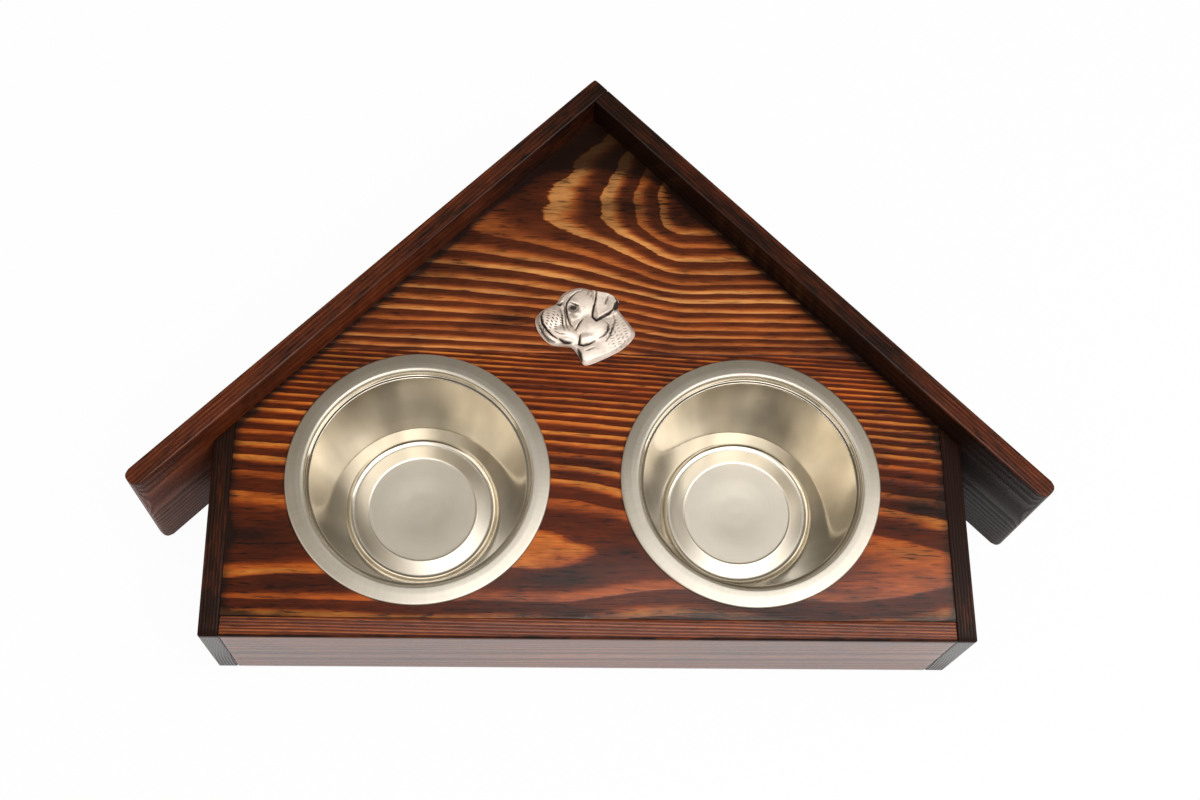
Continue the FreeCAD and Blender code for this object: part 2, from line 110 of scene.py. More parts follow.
class WoodSettings(bpy.types.PropertyGroup):
    """Stained and scorched pine."""
    dark: colour("Early wood", "Wide dark part of a growth ring", (88, 38, 16))
    brown: colour("Stain", "Tone between the dark and the bright part", (124, 57, 24))
    orange: colour("Late wood", "Bright part of a growth ring", (186, 100, 42))
    pale: colour("Highlights", "Palest streaks of the late wood", (216, 146, 80))
    # Char is also the colour of the painted shade on the roof boards' inner faces and the box's front edge
    char: colour("Char", "Wood blackened by the flame", (16, 9, 6))
    red: colour("Front tint", "Tint that the stain takes on the front stave", (255, 226, 168))
    darker: number("Front stave", "How much darker the flame left the front stave", 0.16)
    arris: length("Eased arris", "Rounding of the boards' worked edges", 0.001)
    eave: length("Eave", "Rounding of the eaves' upright corners", 0.005)
    ridge: length("Ridge", "Rounding of the ridge's upright corner", 0.002)
    joint: length("Joint line", "Easing of the panel's edges, which draws its joints", 0.00015)
    seam: length("Seam", "Easing of the glued seam between the staves", 0.00003)
    room: length("Cut-out room", "From the front ledger to the bowls' cut-outs", 0.0024)
    step: length("Mesh step", "Distance between points along the grain", 0.002)


class BowlSettings(bpy.types.PropertyGroup):
    """Pressed bowls."""
    sheet: length("Sheet", "Thickness of the steel", 0.0006)
    mouth: length("Mouth radius", "Crest of the rim, where the flange starts", 0.0686)
    ledge: length("Ledge radius", "Outer edge of the ledge under the crest", 0.0677)
    throat: length("Throat radius", "Inner edge of the ledge, at the top of the wall", 0.0659)
    foot: length("Foot radius", "Foot of the wall", 0.0469)
    ring: length("Ring radius", "Inner edge of the flat ring at the foot", 0.0434)
    disc: length("Disc radius", "Raised centre", 0.0350)
    kick: length("Kick", "Raised centre above the ring", 0.0020)
    dish: length("Dish", "Hollow of the raised centre", 0.0009)
    ridge: length("Ridge width", "Fine ridge round the raised centre", 0.001)
    rise: length("Ridge height", "Fine ridge above the raised centre", 0.0003)
    drop: length("Ledge depth", "Ledge below the panel's top", 0.0025)
    bulge: length("Bulge", "Fall of the flange where it bulges", 0.0002)
    fall: length("Flange fall", "Fall of the flange at its edge", 0.0010)
    lift: length("Lift", "Turned-down edge above the panel", 0.0003)
    step: length("Mesh step", "Distance between points along the line of bends", 0.0012)
    steel: colour("Steel", "Colour of the sheet", (210, 203, 190))


class BadgeSettings(bpy.types.PropertyGroup):
    """Cast badge."""
    rim: length("Rim", "Height of the casting's edge", 0.0014)
    silver: colour("Silver", "Polished metal", (232, 221, 212))
    patina: colour("Patina", "Darkened metal in the hollows", (44, 32, 28))


class StageSettings(bpy.types.PropertyGroup):
    """Camera, floor and light."""
    eye: triple("Camera", "Place of the camera", (-0.0556, -0.4023, 1.0087), "TRANSLATION")
    look: triple("View", "Direction of view", (0.05879, 0.36849, -0.92777), "DIRECTION")
    right: triple("Right", "Direction of the picture's right side", (0.99814, -0.00665, 0.06061), "DIRECTION")
    lens: number("Lens", "Focal length in mm on a sensor 36 mm wide", 48.16, 500)
    floor: colour("Floor", "Colour of the floor", (238, 238, 237))
    lamp: number("Lamp", "Power of the overhead panel in watts", 48, 500)
    fill: number("Fill", "Power of the side panel in watts", 4, 500)
    sky: number("Sky", "Level of the light from all round", 0.34, 5)


# Meshes from arrays

def patch(points, closed=False):
    """Points and quads of a grid (rows, columns, 3); closed joins the last column to the first."""
    rows, columns = points.shape[:2]
    index = np.arange(rows * columns).reshape(rows, columns)
    if closed:
        index = np.concatenate([index, index[:, :1]], axis=1)
    quads = np.stack([index[:-1, :-1], index[:-1, 1:], index[1:, 1:], index[1:, :-1]], axis=-1)
    return points.reshape(-1, 3), quads.reshape(-1, 4)


def lifted(plan, heights):
    """Points of a plan grid (..., 2) lifted to heights: one number, or an array of the grid's shape."""
    heights = np.broadcast_to(heights, plan.shape[:-1])
    return np.concatenate([plan, heights[..., None]], axis=-1)


def wall(border, low, tops, rows):
    """Grid of an upright wall: a border of plan points, in rows from a low height up to its tops."""
    heights = low + (tops - low) * np.linspace(0, 1, rows)[:, None]
    return lifted(np.repeat(border[None], rows, axis=0), heights)


def make_piece(name, patches, body, nodes):
    """One closed skin from patches whose edges meet: equal points become one, faces point outwards."""
    starts = np.cumsum([0] + [len(points) for points, _ in patches])
    points = np.concatenate([points for points, _ in patches])
    faces = np.concatenate([faces + start for (_, faces), start in zip(patches, starts)])
    mesh = bpy.data.meshes.new(name)
    mesh.from_pydata(points.tolist(), [], faces.tolist())
    skin = bmesh.new()
    skin.from_mesh(mesh)
    bmesh.ops.remove_doubles(skin, verts=skin.verts, dist=MERGE)
    bmesh.ops.dissolve_degenerate(skin, edges=skin.edges, dist=SLIVER)
    bmesh.ops.recalc_face_normals(skin, faces=skin.faces)
    skin.to_mesh(mesh)
    skin.free()
    mesh.shade_smooth()
    mesh.set_sharp_from_angle(angle=CREASE)
    piece = bpy.data.objects.new(name, mesh)
    bpy.context.scene.collection.objects.link(piece)
    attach(piece, body)
    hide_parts(*nodes)
    return piece


def points_of(piece):
    """Places of a piece's points, a row each."""
    places = np.empty(len(piece.data.vertices) * 3, dtype=np.float32)
    piece.data.vertices.foreach_get("co", places)
    return places.reshape(-1, 3).astype(float)


def store(piece, **values):
    """Attributes on a piece's points: one number each, or three."""
    for name, array in values.items():
        array = np.asarray(array, dtype=np.float32)
        kind, field = ("FLOAT", "value") if array.ndim == 1 else ("FLOAT_VECTOR", "vector")
        piece.data.attributes.new(name, kind, "POINT").data.foreach_set(field, array.ravel())


def smooth(low, high, values):
    """0 below low, 1 above high, and a smooth cubic between them; low above high turns it round."""
    t = np.clip((values - low) / (high - low), 0, 1)
    return t * t * (3 - 2 * t)


def bell(values, width):
    """1 at zero, falling as a bell of that width on both sides."""
    return np.exp(-(values / width) ** 2)


def oval(x, y, spot):
    """Distance from a spot's middle, in half sizes; a spot starts with its middle and half sizes."""
    return np.hypot((x - spot[0]) / spot[2], (y - spot[1]) / spot[3])


def soft_spots(x, y, spots):
    """Sum of bells over ovals, each with its strength last."""
    return sum(spot[-1] * bell(oval(x, y, spot), 1) for spot in spots)


def ruler(size, radius, step):
    """Marks along one side of a block: steps in the middle, and three that even out each rounded end."""
    ends = radius * (1 - np.tan(np.radians((45, 30, 15))))
    inner = np.linspace(radius, size - radius, max(2, math.ceil((size - 2 * radius) / step) + 1))
    return np.concatenate([ends, inner, size - ends[::-1]])


def rounded_block(sizes, radius, steps):
    """Six grids of a block with rounded edges, in its own axes from one corner.

    A point of the square block is pulled to the radius from the nearest point of the inner block.
    """
    marks = [ruler(size, radius, step) for size, step in zip(sizes, steps)]
    grids = []
    for axis in range(3):
        one, two = (k for k in range(3) if k != axis)
        for side in (0, sizes[axis]):
            grid = np.empty((len(marks[one]), len(marks[two]), 3))
            grid[..., axis] = side
            grid[..., one] = marks[one][:, None]
            grid[..., two] = marks[two][None, :]
            inner = np.clip(grid, radius, np.array(sizes) - radius)
            away = grid - inner
            grids.append(inner + away * radius / np.linalg.norm(away, axis=-1, keepdims=True))
    return grids


def round_corner(grid, corner, inward, radius):
    """Turn a square upright corner round: squares about its centre become circles of the same reach."""
    centre = np.array(corner) + np.array(inward) * radius
    away = grid[..., :2] - centre
    inside = ((away * np.array(inward)) < 0).all(-1, keepdims=True)
    reach = np.abs(away).max(-1, keepdims=True)
    size = np.maximum(np.linalg.norm(away, axis=-1, keepdims=True), 1e-9)
    grid[..., :2] = np.where(inside, centre + away * reach / size, grid[..., :2])


def rounded_path(corners, step, arc_points=7):
    """Open path through corners (across, up, radius): straight runs in steps, an arc at each radius."""
    spots = np.array([corner[:2] for corner in corners], dtype=float)
    parts = [spots[:1]]
    for i, (_, _, radius) in enumerate(corners[1:], start=1):
        arc = spots[i][None]
        if radius:
            back, ahead = spots[i - 1] - spots[i], spots[i + 1] - spots[i]
            back, ahead = back / np.linalg.norm(back), ahead / np.linalg.norm(ahead)
            half = math.acos(back @ ahead) / 2
            centre = spots[i] + (back + ahead) / np.linalg.norm(back + ahead) * radius / math.sin(half)
            spoke = spots[i] + back * radius / math.tan(half) - centre
            turn = (math.pi - 2 * half) * np.sign(back[1] * ahead[0] - back[0] * ahead[1])
            angle = np.linspace(0, turn, arc_points)
            arc = centre + np.stack([spoke[0] * np.cos(angle) - spoke[1] * np.sin(angle),
                                     spoke[0] * np.sin(angle) + spoke[1] * np.cos(angle)], axis=1)
        run = arc[0] - parts[-1][-1]
        count = max(1, math.ceil(np.linalg.norm(run) / step))
        parts.append(parts[-1][-1] + run * (np.arange(1, count) / count)[:, None])
        parts.append(arc)
    return np.concatenate(parts)


# Nodes

def feed(tree, node, inputs):
    """Set a node's inputs to values, or link them to the sockets that feed them."""
    for name, value in inputs.items():
        if isinstance(value, bpy.types.NodeSocket):
            tree.links.new(value, node.inputs[name])
        else:
            node.inputs[name].default_value = value


def add(tree, kind, inputs=None, **settings):
    """A node with its settings and its inputs."""
    node = tree.nodes.new(kind)
    for name, value in settings.items():
        setattr(node, name, value)
    feed(tree, node, inputs or {})
    return node


def calc(tree, operation, *values):
    """Result of a math node on numbers or sockets."""
    return add(tree, "ShaderNodeMath", dict(enumerate(values)), operation=operation).outputs[0]


def times(tree, one, other):
    """Product of two values."""
    return calc(tree, "MULTIPLY", one, other)


def linear(tree, value, slope, start):
    """A start, and a slope times a value."""
    return calc(tree, "MULTIPLY_ADD", value, slope, start)


def vary(tree, value, amount, base, middle=0.5):
    """A base, changed by an amount as a value strays from its middle."""
    return linear(tree, calc(tree, "SUBTRACT", value, middle), amount, base)


def clamp(tree, value, most):
    """A value kept between zero and a limit."""
    return add(tree, "ShaderNodeClamp", {"Value": value, "Max": most}).outputs[0]


def attribute(tree, name, output="Fac"):
    """An attribute of the piece."""
    return add(tree, "ShaderNodeAttribute", attribute_name=name).outputs[output]


def object_place(tree):
    """Place of a point in the piece."""
    return add(tree, "ShaderNodeTexCoord").outputs["Object"]


def vector(tree, x, y, z):
    """A vector of three values."""
    return add(tree, "ShaderNodeCombineXYZ", {"X": x, "Y": y, "Z": z}).outputs[0]


def noise(tree, place, scales, detail=2.0, roughness=0.5):
    """Value of a noise whose place is stretched by three scales, in turns per metre."""
    stretched = add(tree, "ShaderNodeVectorMath", {0: place, 1: scales}, operation="MULTIPLY").outputs[0]
    inputs = {"Vector": stretched, "Scale": 1.0, "Detail": detail, "Roughness": roughness}
    return add(tree, "ShaderNodeTexNoise", inputs).outputs["Fac"]


def ramp(tree, value, stops):
    """Colour ramp through stops (position, colour or grey)."""
    node = add(tree, "ShaderNodeValToRGB", {"Fac": value})
    band = node.color_ramp
    band.elements[0].position, band.elements[1].position = stops[0][0], stops[-1][0]
    for position, _ in stops[1:-1]:
        band.elements.new(position)
    for element, (_, tone) in zip(band.elements, stops):
        element.color = (tone, tone, tone, 1) if isinstance(tone, (int, float)) else (*tone, 1)
    return node.outputs["Color"]


def blend(tree, share, one, other, mode="MIX"):
    """Mix of two colours by a share."""
    node = add(tree, "ShaderNodeMix", {"Factor": share}, data_type="RGBA", blend_type=mode)
    sockets = [socket for socket in node.inputs if socket.type == "RGBA"]
    for socket, value in zip(sockets, (one, other)):
        if isinstance(value, bpy.types.NodeSocket):
            tree.links.new(value, socket)
        else:
            socket.default_value = (*value, 1)
    return next(socket for socket in node.outputs if socket.type == "RGBA")


def bumped(tree, height, strength, distance):
    """Normal that a height gives the surface."""
    inputs = {"Height": height, "Strength": strength, "Distance": distance}
    return add(tree, "ShaderNodeBump", inputs).outputs["Normal"]


def new_material(name):
    """A material with its tree and its shader."""
    material = bpy.data.materials.new(name)
    material.use_nodes = True
    return material, material.node_tree, material.node_tree.nodes["Principled BSDF"]


def finish(piece, material):
    """Give a piece one material."""
    piece.data.materials.clear()
    piece.data.materials.append(material)


# Materials

# Noises in the stain: turns per metre along, across and through the grain, detail, roughness
PINE_NOISES = {
    "waver": ((10, 60, 30), 2.0, 0.5),
    "rags": ((60, 900, 500), 3.0, 0.5),
    "broad": ((9, 30, 18), 2.5, 0.5),
    "streak": ((22, 1100, 900), 4.0, 0.65),
    "dash": ((80, 520, 300), 2.5, 0.5),
    "veil": ((14, 44, 30), 4.0, 0.68),
    "fleck": ((75, 640, 420), 2.0, 0.5),
}


def stained_pine(name, wood, scorch=0.0, contrast=1.0, gloss=0.4, tint=(1, 1, 1), start=0.46, edge=0.20,
                 groove=0.5):
    """Scorched, brushed, stained and varnished pine.

    A growth ring runs from wide dark early wood up to bright late wood, which stops sharply. The
    ring's phase wavers, each ring has its own strength, and fine fibres, short dashes, flecks of
    soot, broad patches of stain and char vary the colour along the grain. Brushing has hollowed the
    early wood, so the varnish shines less there, and still less where it is missing.
    """
    ring_waver, ring_rags = 0.7, 0.14
    own_share, broad_share, broad_start = 0.5, 1.1, -0.02
    streak_share, dash_share = 0.20 + 0.40 * contrast, 0.45
    veil_share, veil_start, fleck_share = 2.1, -0.92 + scorch, 0.45
    soot_share, soot_most = 0.95, 0.94
    material, tree, shader = new_material(name)
    fibre = attribute(tree, "fibre", "Vector")
    calm = attribute(tree, "calm")
    lively = calc(tree, "SUBTRACT", 1.0, calm)
    grain = {part: noise(tree, fibre, *values) for part, values in PINE_NOISES.items()}
    stray = vary(tree, grain["waver"], ring_waver, vary(tree, grain["rags"], ring_rags, 0.0))
    phase = linear(tree, stray, lively, attribute(tree, "ring"))
    number_of_ring = {"W": calc(tree, "FLOOR", phase)}
    own = add(tree, "ShaderNodeTexWhiteNoise", number_of_ring, noise_dimensions="1D").outputs["Value"]
    late = ramp(tree, calc(tree, "FRACT", phase),
                [(0.0, 0.15), (0.05, 0.0), (start - edge, 0.02), (start, 0.34), (start + edge, 0.80),
                 (0.84, 1.0), (0.97, 0.95), (0.995, 0.5)])
    strength = linear(tree, own, own_share, linear(tree, grain["broad"], broad_share, broad_start))
    bright = times(tree, late, times(tree, strength, contrast))
    bright = vary(tree, grain["streak"], streak_share, bright)
    bright = vary(tree, grain["dash"], dash_share, bright)
    tone = ramp(tree, bright, [(0.0, wood.dark), (0.30, wood.brown), (0.68, wood.orange), (1.0, wood.pale)])
    veil = linear(tree, grain["veil"], veil_share, veil_start)
    fleck = ramp(tree, grain["fleck"], [(0.56, 0.0), (0.68, 1.0)])
    # Scorch brings in the flame's char and, on the roof boards' inner faces and the box's front edge, painted
    # light and shade
    soot = linear(tree, fleck, fleck_share, calc(tree, "ADD", attribute(tree, "scorch"), veil))
    char_and_painted_shade = clamp(tree, times(tree, soot, soot_share), soot_most)
    tone = blend(tree, 1.0, tone, tint, "MULTIPLY")
    relief = linear(tree, late, 0.5, times(tree, grain["streak"], 0.8))
    normal = bumped(tree, relief, times(tree, lively, 0.35), 0.0004)
    filled = linear(tree, calm, 0.8, times(tree, late, lively))
    shine = linear(tree, filled, gloss * groove, gloss * (1 - groove))
    varnish = calc(tree, "SUBTRACT", 1.0, attribute(tree, "bare"))
    feed(tree, shader, {
        "Base Color": blend(tree, char_and_painted_shade, tone, tuple(wood.char)),
        "Roughness": linear(tree, grain["streak"], 0.25, 0.33),
        "Normal": normal,
        "Specular IOR Level": 0.06,
        "Coat Weight": times(tree, shine, varnish),
        "Coat Roughness": 0.18,
        "Coat Normal": normal,
    })
    return material


def pressed_steel(name, steel):
    """Stainless sheet: a polished wall with painted reflections streaking up it, a satin floor, a flange
    rubbed across.
    """
    material, tree, shader = new_material(name)
    place = attribute(tree, "centred", "Vector")
    satin = attribute(tree, "satin")
    axes = add(tree, "ShaderNodeSeparateXYZ", {"Vector": place}).outputs
    x, y, z = axes["X"], axes["Y"], axes["Z"]
    radius = calc(tree, "SQRT", calc(tree, "ADD", calc(tree, "POWER", x, 2), calc(tree, "POWER", y, 2)))
    polar = vector(tree, radius, calc(tree, "ARCTAN2", y, x), z)
    facing = vector(tree, calc(tree, "DIVIDE", x, radius), calc(tree, "DIVIDE", y, radius), z)
    rings = noise(tree, polar, (6000, 1.5, 2500), 2.0)
    cloud = noise(tree, place, (38, 38, 38), 3.0)
    rubbed = noise(tree, polar, (60, 55, 60), 3.0, 0.6)
    streaks = noise(tree, facing, (1.9, 1.9, 12), 2.5)
    polished = linear(tree, cloud, 0.08, 0.03)
    brushed = linear(tree, rings, 0.14, 0.30)
    upright = calc(tree, "MAXIMUM", linear(tree, satin, -1.25, 1.0), 0.0)
    shade = vary(tree, rings, times(tree, satin, 0.22), 0.97)
    # Painted reflection: broad clouds lighten and darken the tone all over
    shade = vary(tree, cloud, 0.16, shade)
    shade = vary(tree, rubbed, times(tree, attribute(tree, "flange"), 0.14), shade)
    # Painted reflections: soft streaks up the polished wall
    shade = vary(tree, streaks, times(tree, upright, 1.2), shade, 0.52)
    # Painted light that each point of the bowl carries: lighter centre, darker ring at the foot and flange
    shade = calc(tree, "ADD", shade, attribute(tree, "shade"))
    grey = add(tree, "ShaderNodeCombineColor", {"Red": shade, "Green": shade, "Blue": shade}).outputs[0]
    feed(tree, shader, {
        "Base Color": blend(tree, 1.0, tuple(steel), grey, "MULTIPLY"),
        "Roughness": linear(tree, calc(tree, "SUBTRACT", brushed, polished), satin, polished),
        "Normal": bumped(tree, times(tree, rings, satin), 0.12, 0.0001),
        "Metallic": 1.0,
    })
    return material


def cast_silver(name, settings):
    """Antiqued casting: polished heights, patina and painted shade in the hollows, fine grain and mottling
    from the mould.
    """
    material, tree, shader = new_material(name)
    place = object_place(tree)
    grain = noise(tree, place, (900, 900, 900), 3.0)
    mottle = noise(tree, place, (280, 280, 280), 2.0)
    patina_and_painted_shade = vary(tree, mottle, 0.6, vary(tree, grain, 0.3, attribute(tree, "hollow")))
    patina_and_painted_shade = clamp(tree, patina_and_painted_shade, 0.95)
    feed(tree, shader, {
        "Base Color": blend(tree, patina_and_painted_shade, tuple(settings.silver), tuple(settings.patina)),
        "Roughness": linear(tree, patina_and_painted_shade, 0.2, 0.60),
        "Normal": bumped(tree, linear(tree, grain, 0.3, mottle), 0.3, 0.0008),
        "Metallic": 1.0,
    })
    return material


def plain_timber(name, early, late, along):
    """Unfinished strip or dowel: faint rings about its length, on object coordinates."""
    material, tree, shader = new_material(name)
    turning = {"Vector": object_place(tree), "Rotation": (0, 0, along)}
    turned = add(tree, "ShaderNodeMapping", turning).outputs[0]
    waver = noise(tree, turned, (12, 140, 140), 3.0)
    fine = noise(tree, turned, (60, 2400, 2400), 3.0)
    lines = calc(tree, "SINE", times(tree, waver, 60))
    share = linear(tree, lines, 0.3, times(tree, fine, 0.9))
    feed(tree, shader, {
        "Base Color": ramp(tree, share, [(0.1, late), (0.8, early)]),
        "Roughness": linear(tree, fine, 0.2, 0.55),
        "Normal": bumped(tree, fine, 0.2, 0.0003),
    })
    return material


def zinc(name):
    """Bright zinc plating with a faint blotchy bloom."""
    material, tree, shader = new_material(name)
    bloom = noise(tree, object_place(tree), (700, 700, 700), 3.0)
    feed(tree, shader, {
        "Base Color": ramp(tree, bloom, [(0.3, srgb(150, 150, 146)), (0.7, srgb(206, 204, 196))]),
        "Roughness": linear(tree, bloom, 0.2, 0.25),
        "Metallic": 1.0,
    })
    return material


# Panel

# Patches of char on the panel: middle, half width, half depth, strength
CHAR_PATCHES = (
    (-0.055, SEAM + 0.022, 0.016, 0.006, 0.5),
    (-0.100, SEAM + 0.062, 0.030, 0.010, 0.3),
    (-0.190, FRONT + 0.020, 0.035, 0.006, 0.4),
    (-0.205, FRONT + 0.049, 0.020, 0.005, 0.3),
    (-0.020, FRONT + 0.024, 0.030, 0.008, 0.5),
    (0.195, FRONT + 0.070, 0.022, 0.016, 0.4),
    (0.030, RIDGE - 0.062, 0.075, 0.026, 0.35),
    (-0.050, RIDGE - 0.060, 0.030, 0.018, 0.35),
)


def back_rings(x, y, z):
    """Number of the growth ring round the knot, counted outwards.

    The distance along the grain levels out as a stretched exponential, so that rings are round near
    the knot and run out level far from it. They open towards the right and flatten above the knot.
    """
    reach, run, stretch, core, right_share, upper_share = 0.058, 0.038, 0.6, 0.020, 0.3, 0.5
    first_ring, power, dive = 0.0174, 1.45, 0.35
    knot_x, knot_y = 0.060, RIDGE - 0.068
    away, up = x - knot_x, y - knot_y
    along = (np.hypot(away, core) - core) / run
    across = reach * (1 - np.exp(-along ** stretch)) * np.where(away > 0, right_share, 1)
    distance = np.hypot(across, up * np.where(up > 0, upper_share, 1)) + dive * (TOP - z)
    return (distance / first_ring) ** power


def heart_distance(x, y):
    """Distance behind the front stave's heart line, which slopes down to the right."""
    heart, slope = FRONT + 0.0415, 0.04
    return y - heart + slope * x


def front_rings(x, y, z):
    """Number of the growth ring, counted outwards from the heart line of the stave.

    It rises with a power of the distance from that line, and evenly along it as the tree tapers.
    Right of the middle the rings swing towards the line, and far from it they lie closer.
    """
    reach, power, taper, middle, depth_step = 0.0293, 1.9, 3.8, 0.002, 0.006
    swing_size, swing_length, swing_start, swing_full = 0.007, 0.2, -0.06, 0.02
    swing_near, swing_far = 0.02, 0.05
    fine_start, fine_run, fine_rings = 0.08, 0.04, 1.4
    away = heart_distance(x, y)
    swing = swing_size * np.sin(2 * math.pi * x / swing_length) * smooth(swing_start, swing_full, x)
    swing = swing * np.tanh(away / swing_near) * bell(away, swing_far)
    finer = fine_rings * (np.maximum(away - fine_start, 0) / fine_run) ** 2
    rings = (np.abs(away + swing) / reach) ** power + finer
    return 1 + taper * (x - middle) + rings - (TOP - z) / depth_step


def apex_char(y):
    """Share of the char that blackens the panel's apex, 0 below it and 1 at its tip."""
    start, full = 0.052, 0.026
    return smooth(RIDGE - start, RIDGE - full, y)


def edge_darkening(x, y):
    """Darker along the panel's edges, with char in the apex and in patches: a sum of soft falls and round
    spots.
    """
    roof = (RIDGE - y - np.abs(x)) * DIAGONAL
    falls = ((roof, 0.0035, 0.8), (roof, 0.014, 0.2), (x - LEFT, 0.004, 0.5), (x - RIGHT, 0.004, 0.5),
             (y - FRONT, 0.007, 0.5))
    edges = sum(strength * bell(away, width) for away, width, strength in falls)
    return edges + 1.3 * apex_char(y) + soft_spots(x, y, CHAR_PATCHES)


def front_stave(wood):
    """Front stave: two blocks meeting midway between the bowls, each a grid from cut-out to outline.

    A point lies at a share of the way from the cut-out's circle to the outline along a ray from
    the bowl's middle, so the grid closes round the hole. The edges drop by the joint's easing. The
    varnish is whole along the front on the right, and its grain is filled along the heart line.
    """
    rows_above, rows_below, rows_up = 60, 4, 5
    calm_share, calm_width, bare_share = 0.8, 0.028, 0.6
    drop = wood.joint
    bowls = [sum(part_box(node), Vector()) / 2 for node in ("left_bowl", "right_bowl")]
    split = (bowls[0].x + bowls[1].x) / 2
    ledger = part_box("front_ledger")
    radius = bowls[0].y - FRONT - (ledger[1].y - ledger[0].y) - wood.room
    half = RIDGE - SEAM
    blocks = (
        (bowls[0], ((LEFT, FRONT), (split, FRONT), (split, SEAM), (-half, SEAM), (LEFT, RIDGE + LEFT))),
        (bowls[1], ((split, FRONT), (RIGHT, FRONT), (RIGHT, RIDGE - RIGHT), (half, SEAM), (split, SEAM))),
    )
    patches = []
    for bowl, corners in blocks:
        loop = rounded_path([(*corner, 0) for corner in (*corners, corners[0])], wood.step)[:-1]
        ray = loop - np.array(bowl[:2])
        hole = np.array(bowl[:2]) + ray / np.linalg.norm(ray, axis=1, keepdims=True) * radius
        rim = drop / np.linalg.norm(loop - hole, axis=1)
        rows = np.linspace(0, 1, rows_above)[:, None] * (1 - 2 * rim) + rim
        rows = np.concatenate([0 * rim[None], rows, 0 * rim[None] + 1])
        plan = hole[None] + (loop - hole)[None] * rows[..., None]
        open_side = np.abs(loop[:, 0] - split) > TOUCH
        heights = np.full(plan.shape[:2], TOP)
        heights[0] -= drop
        heights[-1] -= np.where(loop[:, 1] > SEAM - TOUCH, wood.seam, drop) * open_side
        base = hole[None] + (loop - hole)[None] * np.linspace(0, 1, rows_below)[:, None, None]
        patches += [patch(lifted(plan, heights), True), patch(lifted(base, UNDER), True)]
        for border in (0, -1):
            points, quads = patch(wall(plan[border], UNDER, heights[border], rows_up), True)
            if border:
                quads = quads[np.tile(open_side | np.roll(open_side, -1), rows_up - 1)]
            patches.append((points, quads))
    piece = make_piece("front_stave", patches, "stand", ("panel_front_stave",))
    places = points_of(piece)
    x, y, z = places.T
    varnished = smooth(0.058, 0.020, y - FRONT) * smooth(-0.16, 0.02, x)
    store(piece, ring=front_rings(x, y, z), fibre=places,
          scorch=edge_darkening(x, y) + wood.darker, calm=calm_share * bell(heart_distance(x, y), calm_width),
          bare=bare_share * (1 - varnished))
    return piece


def back_stave(wood):
    """Back stave: rows from the seam to the apex, each spread evenly between the roof boards."""
    rows_up, bare_share = 5, 0.85
    drop, last = wood.joint, RIDGE - 2 * wood.step
    rows = np.concatenate([[SEAM, SEAM + drop], np.arange(SEAM + wood.step, last, wood.step),
                           [last, RIDGE - 2 * drop]])
    half = RIDGE - rows
    count = math.ceil(2 * half[0] / wood.step)
    rim = drop / half
    shares = np.linspace(-1, 1, count)[None] * (1 - rim[:, None])
    shares = np.concatenate([-np.ones((len(rows), 1)), shares, np.ones((len(rows), 1))], axis=1)
    plan = np.stack([shares * half[:, None], np.broadcast_to(rows[:, None], shares.shape)], axis=-1)
    heights = np.full(plan.shape[:2], TOP)
    heights[0] -= wood.seam
    heights[-1] -= drop
    heights[1:-1, [0, -1]] -= drop
    border = np.concatenate([plan[0], plan[1:, -1], plan[-1, -2::-1], plan[-2:0:-1, 0]])
    tops = np.where(border[:, 1] < SEAM + TOUCH, TOP - wood.seam, TOP - drop)
    patches = [patch(lifted(plan, heights)), patch(lifted(plan, UNDER)),
               patch(wall(border, UNDER, tops, rows_up), True)]
    piece = make_piece("back_stave", patches, "stand", ("panel_back_stave",))
    places = points_of(piece)
    x, y, z = places.T
    store(piece, ring=back_rings(x, y, z), fibre=places, scorch=edge_darkening(x, y),
          bare=bare_share * apex_char(y))
    return piece


# Boards on edge

def board(name, wood, origin, along, inward, sizes, pith, spacing, looks, shape=None):
    """Board standing on edge: a rounded block laid along a direction, with rings about a pith.

    The pith is given inwards and upwards from the block's corner. The rings' distance from it
    leans slightly along the board, as a tree's do. Looks are attributes, worked out from the places
    along, into and up the board.
    """
    lean, fibre_shift = 0.02, 3
    grids = rounded_block(sizes, wood.arris, (wood.step * 2, wood.step, wood.step * 2))
    for grid in grids:
        if shape:
            shape(grid)
    along, inward, origin = (np.array((*v, 0.0)[:3]) for v in (along, inward, origin))
    axes = np.stack([along, inward, (0, 0, 1)])
    patches = [patch(grid @ axes + origin) for grid in grids]
    piece = make_piece(name, patches, "stand", (name + "_board",))
    place = points_of(piece) - origin
    run, depth, height = place @ along, place @ inward, place[:, 2]
    rings = np.hypot(depth - pith[0], height - pith[1] - lean * run)
    fibre = np.stack([run + fibre_shift * origin[0], rings, height - depth], axis=1)
    store(piece, ring=rings / spacing, fibre=fibre,
          **{look: values(run, depth, height) for look, values in looks.items()})
    return piece


